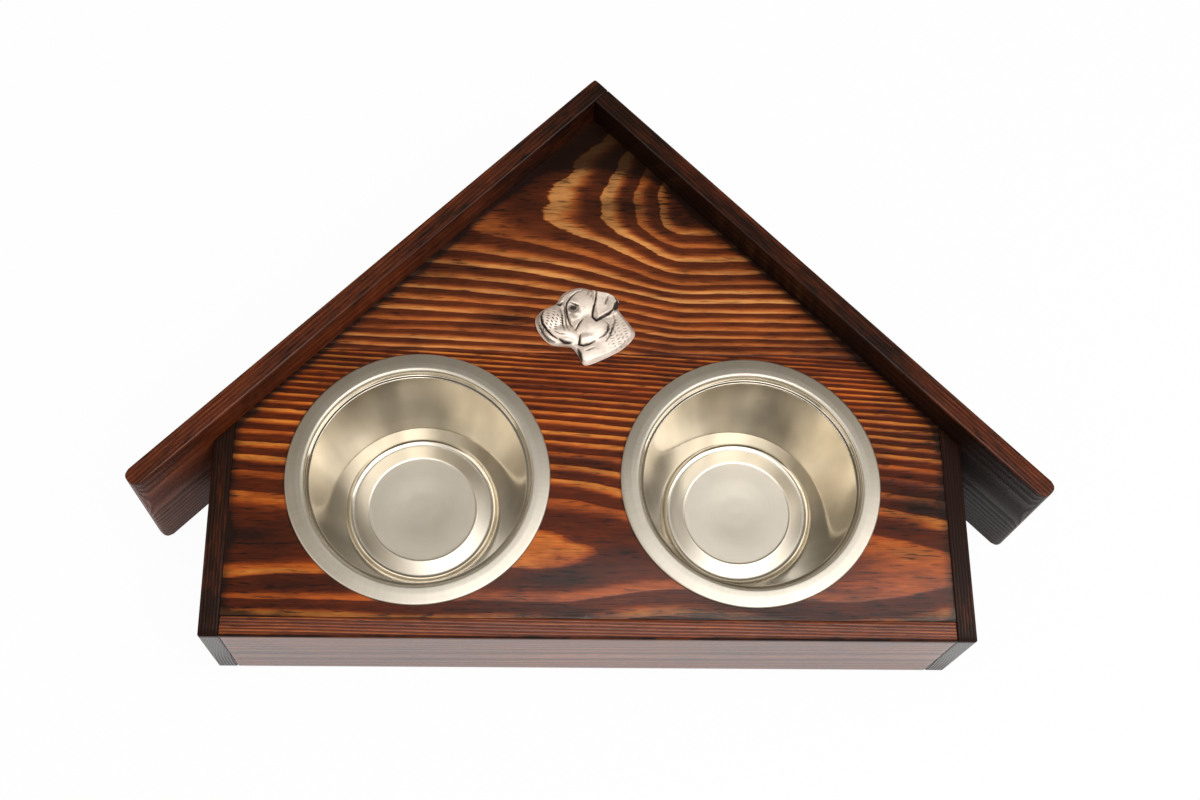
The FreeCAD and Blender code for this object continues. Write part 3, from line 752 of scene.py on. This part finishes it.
def box_boards(wood):
    """Front board between two side boards whose back ends are cut to the roof's slope.

    The arris round the box's top at the front is painted black with its varnish taken off, a painted
    dark reflection along the rounded edge; the front board's top is paler behind it, partly its own
    tone and partly a painted sheen, and varnish fills the grain of the upright faces in front.
    """
    tall = TOP
    front_pith, front_spacing = (0.075, 0.030), 0.0016
    side_pith, side_spacing = (0.220, 0.010), 0.0018
    edge_band, sharp, flat = 0.0030, 0.0014, 0.001
    skin_deep, skin_full = 0.0016, 0.0006
    pale_band_place, pale_band_width = 0.0036, 0.0016

    # Front top arris: painted black as a dark reflection of the rounded edge, and its varnish taken off
    def arris(depth, height):
        return smooth(edge_band, sharp, depth + tall - height)

    def top(height):
        return smooth(tall - edge_band, tall - flat, height)

    def skin(depth):
        return smooth(skin_deep, skin_full, depth)

    def front_char_and_painted_light(run, depth, height):
        # Paler band behind the arris: partly the wood's own tone and partly a painted sheen
        rubbed = 0.5 * bell(depth - pale_band_place, pale_band_width)
        fading = 0.2 - 0.2 * smooth(0, RIGHT - LEFT, run)
        return top(height) * (fading - rubbed) + 0.8 * arris(depth, height)

    front_looks = {
        "scorch": front_char_and_painted_light,
        "bare": lambda run, depth, height: arris(depth, height),
        "calm": lambda run, depth, height: 0.6 * skin(depth),
    }
    side_looks = {
        "scorch": lambda run, depth, height: 0.88 + 0.1 * arris(run, height),
        "bare": lambda run, depth, height: np.maximum(arris(run, height), 0.75 * top(height)),
        "calm": lambda run, depth, height: 0.8 * skin(run) * smooth(0.1 * tall, 0.6 * tall, height),
    }
    made = [board("front", wood, (LEFT, FACE, 0), (1, 0), (0, 1), (RIGHT - LEFT, THICK, tall), front_pith,
                  front_spacing, front_looks)]
    sides = (("left_side", LEFT_SIDE, LEFT, 1), ("right_side", RIGHT_SIDE, RIGHT, -1))
    for name, side, inside, sense in sides:
        outer_length = RIDGE - abs(side) - FACE
        inner_length = RIDGE - abs(inside) - FACE
        slant = (inner_length - outer_length) / THICK

        def bevel(grid, slant=slant, size=outer_length):
            grid[..., 0] += slant * grid[..., 1] * grid[..., 0] / size

        made.append(board(name, wood, (side, FACE, 0), (0, 1), (sense, 0), (outer_length, THICK, tall),
                          side_pith, side_spacing, side_looks, bevel))
    return made


def roof_boards(wood):
    """Roof boards on edge: the left one runs through the ridge, the right one butts against it.

    Char is deepest at the ridge and fades towards the eaves. The inner faces carry painted light and
    shade: the left one is painted lighter and the right one darker, and a painted shadow darkens each
    just under its top edge near the eave.
    """
    pith, spacing = (-0.07, 0.060), 0.0022
    edge_start, edge_full = 0.004, 0.001
    eave_start, eave_full, eave_deep, eave_shallow = 0.14, 0.10, 0.024, 0.004
    ridge_far, ridge_near = 0.12, 0.02
    reach = (-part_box("left_roof_board")[0].x + wood.eave * (math.sqrt(2) - 1)) * math.sqrt(2)
    tall = ROOF_TOP
    made = []
    # Name, side, start from the ridge, char outside, painted light and shade on the inner face (lighter
    # below zero, darker above it), and where the char fades before the eave
    boards = (("left_roof", -1, 0, 0.60, -0.35, (0.34, 0.10)), ("right_roof", 1, THICK, 0.72, 0.9, (0.14, 0)))
    for name, sense, start, level, inner, fade in boards:
        along = (sense * DIAGONAL, -DIAGONAL)
        inward = (-sense * DIAGONAL, -DIAGONAL)
        origin = (along[0] * start, APEX + along[1] * start, 0)
        size = reach - start

        def corners(grid, size=size, start=start):
            if not start:
                round_corner(grid, (0, 0), (1, 1), wood.ridge)
            round_corner(grid, (size, 0), (-1, 1), wood.eave)
            round_corner(grid, (size, THICK), (-1, -1), wood.eave)

        def char_and_painted_light(run, depth, height, size=size, level=level, inner=inner, fade=fade):
            top = smooth(tall - edge_start, tall - edge_full, height)
            eave = smooth(size - fade[0], size - fade[1], run)
            # Painted shadow just under the inner face's top edge, near the eave
            under = 0.5 * smooth(eave_deep, eave_shallow, tall - height)
            under = under * smooth(size - eave_start, size - eave_full, run)
            # Painted light and shade on the inner face, with the painted shadow under its top edge
            inside = (inner + under) * smooth(0.5 * THICK, THICK, depth) * (1 - top)
            ridge = 0.25 * smooth(ridge_far, ridge_near, run)
            return (level - 0.20 * top) * (1 - 0.8 * eave) + ridge + inside

        made.append(board(name, wood, origin, along, inward, (size, THICK, tall), pith, spacing,
                          {"scorch": char_and_painted_light}, corners))
    return made


# Bowls

# The hollow centre's line: shares of its radius and of its depth
DISH_SHARES = ((0.30, 0.91), (0.67, 0.55))
BULGE_SHARE = 0.45
TURNS = 240


def bowl(node, form):
    """Pressed bowl: one line of bends, turned about the upright axis.

    The line runs from the raised centre to the turned-down edge. The same line, set out by the
    sheet's thickness, closes the bowl underneath.
    """
    dish_bend, ridge_bend, ring_bend, foot_bend = 0.3, 0.0006, 0.0015, 0.0038
    ledge_bend, crest_bend, bulge_bend, edge_bend = 0.0004, 0.0022, 0.02, 0.0012
    crest_blur, disc_blur = 0.001, 0.0008
    low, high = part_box(node)
    middle = (low + high) / 2
    rim = (high.x - low.x) / 2
    crest, base = high.z, low.z + form.sheet
    floor, ledge = base + form.kick, TOP - form.drop
    bulge = form.mouth + BULGE_SHARE * (rim - form.mouth)
    line = rounded_path([
        (0, floor - form.dish, 0),
        *((form.disc * out, floor - form.dish * deep, dish_bend) for out, deep in DISH_SHARES),
        (form.disc - form.ridge, floor - form.rise, ridge_bend),
        (form.disc, floor, ridge_bend),
        (form.ring, base, ring_bend),
        (form.foot, base, foot_bend),
        (form.throat, ledge, ledge_bend),
        (form.ledge, ledge, ledge_bend),
        (form.mouth, crest, crest_bend),
        (bulge, crest - form.bulge, bulge_bend),
        (rim, crest - form.fall, edge_bend),
        (rim, TOP + form.lift, 0),
    ], form.step)
    ahead = np.gradient(line, axis=0)
    ahead /= np.linalg.norm(ahead, axis=1, keepdims=True)
    under = line + form.sheet * np.stack([ahead[:, 1], -ahead[:, 0]], axis=1)
    under[0, 0] = 0
    profile = np.concatenate([line, under[::-1]])
    angle = np.linspace(0, 2 * math.pi, TURNS, endpoint=False)
    points = np.stack([middle.x + profile[:, :1] * np.cos(angle), middle.y + profile[:, :1] * np.sin(angle),
                       profile[:, 1:] + 0 * angle], axis=-1)
    piece = make_piece(node + "_pressed", [patch(points, True)], node, (node,))
    centred = points_of(piece) - (middle.x, middle.y, TOP)
    radius = np.hypot(centred[:, 0], centred[:, 1])
    flange = smooth(form.mouth - crest_blur, form.mouth + crest_blur, radius)
    disc = smooth(form.disc + disc_blur, form.disc - disc_blur, radius)
    slope = smooth(form.foot, form.ring, radius)
    # Painted light: the raised centre is painted lighter, and the ring at the foot and the flange darker
    store(piece, centred=centred, shade=0.13 * disc - 0.13 * slope - 0.24 * flange,
          satin=np.maximum(flange, 0.80 * slope), flange=flange)
    return piece


# Badge

# Outline of the head, as shares of the badge's width and depth from its middle
BADGE_OUTLINE = (
    (-0.50, 0.05), (-0.46, 0.16), (-0.37, 0.24), (-0.29, 0.29), (-0.22, 0.42), (-0.06, 0.50), (0.11, 0.46),
    (0.25, 0.43), (0.34, 0.35), (0.34, 0.22), (0.44, 0.05), (0.50, -0.10), (0.38, -0.28), (0.18, -0.42),
    (0.00, -0.50), (-0.07, -0.38), (-0.15, -0.27), (-0.33, -0.25), (-0.45, -0.12),
)
# Forms of the head: middle, half width, half depth, turn in degrees, height as a share of the relief
BADGE_FORMS = (
    (0.00, 0.27, 0.27, 0.24, 0, 0.62), (-0.13, 0.25, 0.10, 0.11, 20, 0.72),
    (-0.33, 0.07, 0.16, 0.19, 15, 0.86), (-0.45, 0.06, 0.06, 0.13, 10, 0.62),
    (-0.21, -0.11, 0.17, 0.11, -20, 0.80), (-0.37, -0.16, 0.11, 0.07, -40, 0.58),
    (-0.19, -0.20, 0.10, 0.06, -8, 0.66), (0.07, -0.03, 0.20, 0.20, 0, 0.70),
    (-0.09, 0.13, 0.08, 0.06, 30, 0.72), (0.02, -0.17, 0.14, 0.08, 15, 0.64),
    (0.27, -0.12, 0.25, 0.28, 0, 0.48), (0.05, -0.34, 0.18, 0.16, 20, 0.44),
)
# Sides of the ear's flap: a place on each, and its direction inwards
EAR_SIDES = ((0.10, 0.20, 0.99, 0.14), (0.15, 0.09, -0.5, 0.86), (0.33, 0.30, -0.9, 0.1))
# Lines cut into the head: width and depth as shares, then the points they run through
BADGE_LINES = (
    (0.010, 0.26, ((-0.42, 0.20), (-0.445, 0.13), (-0.43, 0.03), (-0.38, -0.06), (-0.33, -0.12),
                   (-0.27, -0.17))),
    (0.008, 0.18, ((-0.47, 0.05), (-0.45, -0.03), (-0.41, -0.11), (-0.36, -0.17), (-0.29, -0.22))),
    (0.007, 0.14, ((-0.42, -0.10), (-0.37, -0.18), (-0.31, -0.225))),
    (0.008, 0.16, ((-0.26, 0.24), (-0.235, 0.15), (-0.23, 0.08), (-0.225, 0.01), (-0.205, -0.05))),
    (0.007, 0.16, ((-0.22, 0.31), (-0.21, 0.22), (-0.20, 0.14), (-0.195, 0.07), (-0.185, -0.01),
                   (-0.15, -0.055))),
    (0.010, 0.22, ((-0.06, 0.48), (-0.14, 0.39), (-0.187, 0.31), (-0.195, 0.24), (-0.18, 0.13), (-0.16, 0.05),
                   (-0.135, -0.02))),
    (0.007, 0.12, ((-0.11, 0.43), (-0.07, 0.46), (-0.01, 0.485))),
    (0.011, 0.20, ((-0.29, 0.29), (-0.255, 0.27), (-0.22, 0.32))),
    (0.008, 0.14, ((-0.16, 0.12), (-0.15, 0.03), (-0.12, -0.02))),
    (0.009, 0.20, ((-0.02, 0.11), (-0.065, 0.03), (-0.10, -0.06))),
    (0.010, 0.20, ((-0.155, 0.32), (-0.11, 0.30), (-0.06, 0.27))),
    (0.007, 0.10, ((-0.31, -0.06), (-0.26, -0.09), (-0.19, -0.10))),
    (0.012, 0.28, ((-0.05, -0.10), (-0.058, -0.18), (-0.060, -0.235), (-0.02, -0.245), (0.04, -0.225),
                   (0.10, -0.18))),
    (0.016, 0.28, ((-0.265, -0.155), (-0.21, -0.21), (-0.135, -0.215))),
    (0.009, 0.14, ((-0.005, -0.31), (0.035, -0.295), (0.095, -0.255))),
    (0.012, 0.20, ((-0.08, -0.28), (-0.05, -0.36), (-0.03, -0.46))),
    (0.011, 0.30, ((0.115, 0.47), (0.105, 0.36), (0.075, 0.19), (0.073, 0.13), (0.11, 0.085), (0.165, 0.11),
                   (0.24, 0.155), (0.28, 0.20), (0.30, 0.29))),
    (0.016, 0.30, ((0.297, 0.37), (0.333, 0.31), (0.312, 0.245), (0.29, 0.19))),
    (0.011, 0.10, ((0.235, 0.39), (0.21, 0.32), (0.195, 0.27))),
    (0.010, 0.14, ((0.285, 0.17), (0.297, 0.085), (0.275, 0.0), (0.24, -0.12), (0.20, -0.18))),
    (0.009, 0.14, ((0.20, 0.085), (0.235, 0.03), (0.22, -0.055), (0.18, -0.115), (0.13, -0.15))),
    (0.008, 0.10, ((0.036, 0.475), (0.02, 0.41))),
    (0.008, 0.10, ((0.062, 0.43), (0.055, 0.385))),
)
# Soft dark places of the head, mostly painted shade in its folds and under the jaw and the ear:
# middle, half width, half depth, strength
BADGE_SHADES = (
    (-0.116, 0.135, 0.035, 0.040, 0.50), (0.232, 0.300, 0.055, 0.070, 0.30),
    (-0.425, -0.01, 0.030, 0.100, 0.25), (-0.265, 0.275, 0.030, 0.025, 0.45),
    (0.315, 0.290, 0.030, 0.060, 0.20), (0.225, -0.04, 0.050, 0.080, 0.20),
    (-0.055, -0.34, 0.030, 0.060, 0.35), (-0.200, -0.195, 0.060, 0.025, 0.25),
)
# Hairy places and the eye: middle, half width, half depth
MUZZLE = (-0.33, 0.08, 0.11, 0.14)
NECK = (0.32, -0.09, 0.14, 0.21)
NOSE = (-0.435, -0.01, 0.035, 0.10)
EYE = (-0.122, 0.240, 0.040, 0.034)


def closed_curve(corners, pieces):
    """Smooth closed curve through corners: cubic pieces whose slopes join each corner's neighbours."""
    p0, p1, p2, p3 = (np.roll(corners, shift, axis=0)[:, None] for shift in (1, 0, -1, -2))
    t = np.linspace(0, 1, pieces, endpoint=False)[None, :, None]
    curve = 0.5 * (2 * p1 + (p2 - p0) * t + (2 * p0 - 5 * p1 + 4 * p2 - p3) * t ** 2
                   + (3 * p1 - p0 - 3 * p2 + p3) * t ** 3)
    return curve.reshape(-1, 2)


def line_distance(u, v, points):
    """Distance from every place to a line through points, and the share along it where it is nearest."""
    best, share = np.full(u.shape, np.inf), np.zeros(u.shape)
    for i, ((a, b), (c, d)) in enumerate(zip(points[:-1], points[1:])):
        t = np.clip(((u - a) * (c - a) + (v - b) * (d - b)) / ((c - a) ** 2 + (d - b) ** 2), 0, 1)
        away = np.hypot(u - a - t * (c - a), v - b - t * (d - b))
        share = np.where(away < best, (i + t) / (len(points) - 1), share)
        best = np.minimum(best, away)
    return best, share


def strokes(along, across, spacing, gap):
    """Short strokes in staggered rows, 0 to 1: waves along and across, sharpened."""
    row = np.cos(2 * math.pi * across / gap + 2.5 * np.sin(along / spacing * 2.2))
    dash = np.cos(2 * math.pi * along / spacing + 2.0 * np.floor(across / gap + 0.5))
    return smooth(0.0, 0.9, row) * smooth(-0.5, 0.4, dash)


def head_relief(u, v):
    """Height of the head and depth of its hollows at shares of its width and depth.

    Domes are joined by a soft maximum, the ear is a flap with a raised rim, and lines are cut by
    a bell across their width. Hair is a slanted ripple on the muzzle and the neck. What is drawn on
    the domes lies the further down the higher they are. Its darkness is patina in the cuts, the hair
    and the eye's socket, a dark pupil, and painted shade in the soft dark places.
    """
    softness, ground, lean, ear_softness = 9, 0.22, 0.065, 60
    total = np.full(u.shape, np.exp(softness * ground))
    for a, b, half_width, half_depth, turn, rise in BADGE_FORMS:
        cosine, sine = math.cos(math.radians(turn)), math.sin(math.radians(turn))
        x, y = (u - a) * cosine + (v - b) * sine, (v - b) * cosine - (u - a) * sine
        dome = rise * np.clip(1 - (x / half_width) ** 2 - (y / half_depth) ** 2, 0, 1) ** 0.75
        total = total + np.exp(softness * dome) - 1
    height = np.log(total) / softness
    v = v + lean * height
    edges = np.stack([(u - a) * c + (v - b) * d for a, b, c, d in EAR_SIDES])
    inside = -np.log(np.exp(-ear_softness * edges).sum(0)) / ear_softness
    flap = smooth(-0.012, 0.02, inside)
    height = height * (1 - flap) + flap * (0.92 - 0.10 * smooth(0.0, 0.09, inside) + 0.10 * (u - 0.2))
    cut = np.zeros(u.shape)
    for width, depth, points in BADGE_LINES:
        away, share = line_distance(u, v, points)
        taper = 0.3 + 0.7 * np.sqrt(np.clip(4 * share * (1 - share), 0, 1))
        cut = np.maximum(cut, depth * taper * bell(away, width * taper))
    muzzle = smooth(1.25, 0.75, oval(u, v, MUZZLE))
    neck = smooth(1.2, 0.7, oval(u, v, NECK)) * (1 - flap)
    nose = smooth(1.2, 0.7, oval(u, v, NOSE))
    hair = (muzzle * strokes(0.82 * u - 0.57 * v, 0.57 * u + 0.82 * v, 0.055, 0.034)
            + 0.6 * neck * strokes(0.70 * u + 0.71 * v, 0.71 * u - 0.70 * v, 0.060, 0.036)
            + nose * strokes(v, u + 0.3 * v, 0.05, 0.020))
    eye = oval(u, v, EYE)
    socket = 0.20 * bell(eye - 1.15, 0.35)
    ball = 0.12 * np.sqrt(np.clip(1 - eye ** 2, 0, 1))
    relief = height - cut - socket + ball - 0.05 * hair
    # Patina in cuts, socket and hair, the dark pupil, and painted shade in the soft dark places
    dark = 5.5 * cut + 3.0 * socket + 0.85 * hair + soft_spots(u, v, BADGE_SHADES) + 1.0 * (eye < 0.8)
    return relief, np.clip(dark, 0, 1)


def badge(settings):
    """Cast badge: rays from its middle to the outline, lifted to the head's relief and closed below."""
    rows, curve_pieces, sparse, wall_rows = 120, 16, 17, 3
    slope_start, lip_start, lip_share, wall_dirt = 0.90, 0.97, 0.6, 0.6
    low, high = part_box("badge")
    middle, size = (low + high) / 2, high - low
    outline = closed_curve(np.array(BADGE_OUTLINE), curve_pieces)
    out = np.linspace(0, 1, rows)[:, None]
    shares = out[..., None] * outline[None]
    u, v = shares[..., 0], shares[..., 1]
    relief, _ = head_relief(u, v)
    relief = (relief - relief.min()) / (relief.max() - relief.min())
    lip = settings.rim * (lip_share + (1 - lip_share) * smooth(1.0, lip_start, out))
    heights = low.z + lip + (size.z - settings.rim) * relief * smooth(1.0, slope_start, out)
    plan = np.stack([middle.x + u * size.x, middle.y + v * size.y], axis=-1)
    side = wall(plan[-1], low.z, heights[-1], wall_rows)
    base = lifted(plan[::-sparse], low.z)
    patches = [patch(lifted(plan, heights), True), patch(side, True), patch(base, True)]
    piece = make_piece("head_badge", patches, "stand", ("badge",))
    x, y, z = points_of(piece).T
    _, hollow = head_relief((x - middle.x) / size.x, (y - middle.y) / size.y)
    store(piece, hollow=np.where(z > low.z + settings.rim / 2, hollow, wall_dirt))
    return piece


# Stage

LAMP_PLACE, LAMP_SIZE = (0.95, -0.74, 1.9), (2.4, 2.2)
FILL_PLACE, FILL_SIZE = (-1.5, -0.7, 1.3), (1.0, 1.0)
FLOOR_HALF = 4
# The mirrored room, from the floor's white up to a dim ceiling, and its light and dark patches
ROOM_HEIGHTS = (
    (0.0, (1, 1, 1)), (0.2, (1, 0.98, 0.95)), (0.5, (0.80, 0.74, 0.64)), (1.0, (0.64, 0.57, 0.47)),
)
ROOM_PATCHES = ((0.40, (0.52, 0.44, 0.35)), (0.48, (0.88, 0.84, 0.77)), (0.56, (1, 1, 1)))
# A dim and a bright side of the room: direction, cosines where it starts and is full, colour
ROOM_SIDES = (
    ((0.04, 0.46, 0.887), 0.83, 0.94, (0.25, 0.23, 0.20)),
    ((-0.22, -0.49, 0.844), 0.90, 0.97, (1.5, 1.48, 1.42)),
)


def mirrored_ray(tree):
    """Light path's outputs, and 1 where a mirror or glass looks."""
    path = add(tree, "ShaderNodeLightPath").outputs
    return path, calc(tree, "MAXIMUM", path["Is Glossy Ray"], path["Is Transmission Ray"])


def lay_floor(stage):
    """White floor: mostly its own white to the eye, with a share of real light that keeps shadows."""
    own_white, mirrored_white, fading = 0.96, 0.3, 0.985
    mesh = bpy.data.meshes.new("floor")
    corners = [(FLOOR_HALF * x, FLOOR_HALF * y, 0) for x, y in ((-1, -1), (1, -1), (1, 1), (-1, 1))]
    mesh.from_pydata(corners, [], [(0, 1, 2, 3)])
    floor = bpy.data.objects.new("floor", mesh)
    bpy.context.scene.collection.objects.link(floor)
    material, tree, shader = new_material("white_floor")
    cloud = noise(tree, object_place(tree), (3, 3, 3), 2.0)
    tone = ramp(tree, cloud, [(0.0, tuple(stage.floor)), (1.0, tuple(c * fading for c in stage.floor))])
    feed(tree, shader, {"Base Color": tone, "Roughness": 0.9})
    glow = add(tree, "ShaderNodeEmission", {"Strength": 1.0}).outputs[0]
    path, mirrored = mirrored_ray(tree)
    share = linear(tree, mirrored, mirrored_white, times(tree, path["Is Camera Ray"], own_white))
    mix = add(tree, "ShaderNodeMixShader", {0: share, 1: shader.outputs[0], 2: glow}).outputs[0]
    feed(tree, tree.nodes["Material Output"], {"Surface": mix})
    finish(floor, material)


def hang_panel(name, place, target, size, power):
    """A soft panel of light that faces a target."""
    lamp = bpy.data.lights.new(name, "AREA")
    lamp.shape = "RECTANGLE"
    lamp.size, lamp.size_y = size
    lamp.energy = power
    panel = bpy.data.objects.new(name, lamp)
    panel.location = place
    panel.rotation_euler = (Vector(place) - Vector(target)).to_track_quat("Z", "Y").to_euler()
    bpy.context.scene.collection.objects.link(panel)


def light_sky(scene, stage):
    """Even light from all round; mirrored, it is a room, white low down, greyer overhead and patchy."""
    world = bpy.data.worlds.new("studio")
    world.use_nodes = True
    scene.world = world
    tree = world.node_tree
    way = add(tree, "ShaderNodeTexCoord").outputs["Generated"]
    up = add(tree, "ShaderNodeSeparateXYZ", {"Vector": way}).outputs["Z"]
    room = ramp(tree, up, ROOM_HEIGHTS)
    for side, start, full, tone in ROOM_SIDES:
        aligned = add(tree, "ShaderNodeVectorMath", {0: way, 1: side}, operation="DOT_PRODUCT")
        share = ramp(tree, aligned.outputs["Value"], [(start, 0.0), (full, 1.0)])
        room = blend(tree, share, room, tone)
    spots = ramp(tree, noise(tree, way, (2.4, 2.4, 2.4), 1.0), ROOM_PATCHES)
    room = blend(tree, 1.0, room, spots, "MULTIPLY")
    path, mirrored = mirrored_ray(tree)
    tone = blend(tree, mirrored, (stage.sky, stage.sky, stage.sky), room)
    tone = blend(tree, path["Is Camera Ray"], tone, (1, 1, 1))
    feed(tree, tree.nodes["Background"], {"Color": tone})


def set_camera(scene, stage):
    """Camera at the picture's place: its axes are right, up and backwards."""
    look, right = Vector(stage.look).normalized(), Vector(stage.right).normalized()
    up = right.cross(look)
    lens = bpy.data.cameras.new("camera")
    lens.lens, lens.sensor_width, lens.sensor_fit = stage.lens, 36, "HORIZONTAL"
    camera = bpy.data.objects.new("camera", lens)
    camera.matrix_world = Matrix.Translation(stage.eye) @ Matrix((right, up, -look)).transposed().to_4x4()
    scene.collection.objects.link(camera)
    scene.camera = camera


# Operators

class STAND_OT_panel(bpy.types.Operator):
    """Build the two staves of the panel and finish them"""
    bl_idname = "stand.panel"
    bl_label = "Panel"

    def execute(self, context):
        wood = context.scene.stand_wood
        front = stained_pine("front_stave_stain", wood, gloss=0.85, tint=wood.red, start=0.58, edge=0.12)
        finish(front_stave(wood), front)
        back = stained_pine("back_stave_stain", wood, start=0.52, edge=0.17)
        finish(back_stave(wood), back)
        return {"FINISHED"}


class STAND_OT_box(bpy.types.Operator):
    """Build the front board and the side boards and finish them"""
    bl_idname = "stand.box"
    bl_label = "Box boards"

    def execute(self, context):
        wood = context.scene.stand_wood
        front, left, right = box_boards(wood)
        stain = stained_pine("front_board_stain", wood, scorch=-0.2, contrast=0.5, gloss=1.0, groove=0.4)
        finish(front, stain)
        side_stain = stained_pine("side_board_stain", wood, scorch=0.1, contrast=0.5, gloss=1.0, groove=0.8)
        finish(left, side_stain)
        finish(right, side_stain)
        return {"FINISHED"}


class STAND_OT_roof(bpy.types.Operator):
    """Build the roof boards and finish them"""
    bl_idname = "stand.roof"
    bl_label = "Roof boards"

    def execute(self, context):
        wood = context.scene.stand_wood
        stain = stained_pine("roof_stain", wood, scorch=0.15, contrast=0.25, gloss=0.45, groove=0.7)
        for piece in roof_boards(wood):
            finish(piece, stain)
        return {"FINISHED"}


class STAND_OT_bowls(bpy.types.Operator):
    """Press the two bowls"""
    bl_idname = "stand.bowls"
    bl_label = "Bowls"

    def execute(self, context):
        settings = context.scene.stand_bowl
        steel = pressed_steel("pressed_steel", settings.steel)
        for node in ("left_bowl", "right_bowl"):
            finish(bowl(node, settings), steel)
        return {"FINISHED"}


class STAND_OT_badge(bpy.types.Operator):
    """Cast the badge"""
    bl_idname = "stand.badge"
    bl_label = "Badge"

    def execute(self, context):
        settings = context.scene.stand_badge
        finish(badge(settings), cast_silver("antique_silver", settings))
        return {"FINISHED"}


class STAND_OT_fixings(bpy.types.Operator):
    """Finish the ledgers, dowels and screws under the panel"""
    bl_idname = "stand.fixings"
    bl_label = "Ledgers and fixings"

    def execute(self, context):
        raw, raw_late = srgb(214, 180, 132), srgb(176, 128, 78)
        turns = {"front_ledger": 0, "left_side_ledger": math.pi / 2, "right_side_ledger": math.pi / 2,
                 "left_roof_ledger": -math.pi / 4, "right_roof_ledger": math.pi / 4}
        strips = {turn: plain_timber(f"ledger_pine_{i}", raw, raw_late, turn)
                  for i, turn in enumerate(sorted(set(turns.values())))}
        rod = plain_timber("dowel_beech", srgb(206, 172, 134), srgb(178, 138, 98), 0)
        plating = zinc("zinc_plating")
        for name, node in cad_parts.items():
            if name in turns:
                finish(node, strips[turns[name]])
            elif name.endswith("_dowels"):
                finish(node, rod)
            elif name.endswith("_screws"):
                finish(node, plating)
        return {"FINISHED"}


class STAND_OT_stage(bpy.types.Operator):
    """Set up the floor, the light and the camera"""
    bl_idname = "stand.stage"
    bl_label = "Stage"

    def execute(self, context):
        stage = context.scene.stand_stage
        lay_floor(stage)
        hang_panel("overhead_panel", LAMP_PLACE, (*LAMP_PLACE[:2], 0), LAMP_SIZE, stage.lamp)
        hang_panel("side_panel", FILL_PLACE, (0, 0, 0), FILL_SIZE, stage.fill)
        light_sky(context.scene, stage)
        set_camera(context.scene, stage)
        context.scene.view_settings.view_transform = "Standard"
        return {"FINISHED"}


class STAND_PT_sidebar(bpy.types.Panel):
    """Lists the pieces in the order they are built"""
    bl_label = "Bowl stand"
    bl_idname = "STAND_PT_sidebar"
    bl_space_type = "VIEW_3D"
    bl_region_type = "UI"
    bl_category = "Bowl stand"

    def draw(self, context):
        for operator in OPERATORS:
            self.layout.operator(operator.bl_idname)
        for group in SETTINGS:
            settings = getattr(context.scene, group)
            for name in settings.bl_rna.properties.keys():
                if name not in ("rna_type", "name"):
                    self.layout.prop(settings, name)


OPERATORS = (STAND_OT_panel, STAND_OT_box, STAND_OT_roof, STAND_OT_bowls, STAND_OT_badge, STAND_OT_fixings,
             STAND_OT_stage)
SETTINGS = {"stand_wood": WoodSettings, "stand_bowl": BowlSettings, "stand_badge": BadgeSettings,
            "stand_stage": StageSettings}


def register():
    """Make the settings, the operators and the panel known."""
    for name, group in SETTINGS.items():
        bpy.utils.register_class(group)
        setattr(bpy.types.Scene, name, bpy.props.PointerProperty(type=group))
    for kind in (*OPERATORS, STAND_PT_sidebar):
        bpy.utils.register_class(kind)


def unregister():
    """Take back what register added."""
    for kind in (STAND_PT_sidebar, *reversed(OPERATORS)):
        bpy.utils.unregister_class(kind)
    for name, group in SETTINGS.items():
        delattr(bpy.types.Scene, name)
        bpy.utils.unregister_class(group)


def main():
    """Build everything in order."""
    register()
    for operator in OPERATORS:
        group, name = operator.bl_idname.split(".")
        getattr(getattr(bpy.ops, group), name)()


if __name__ == "__main__":
    main()
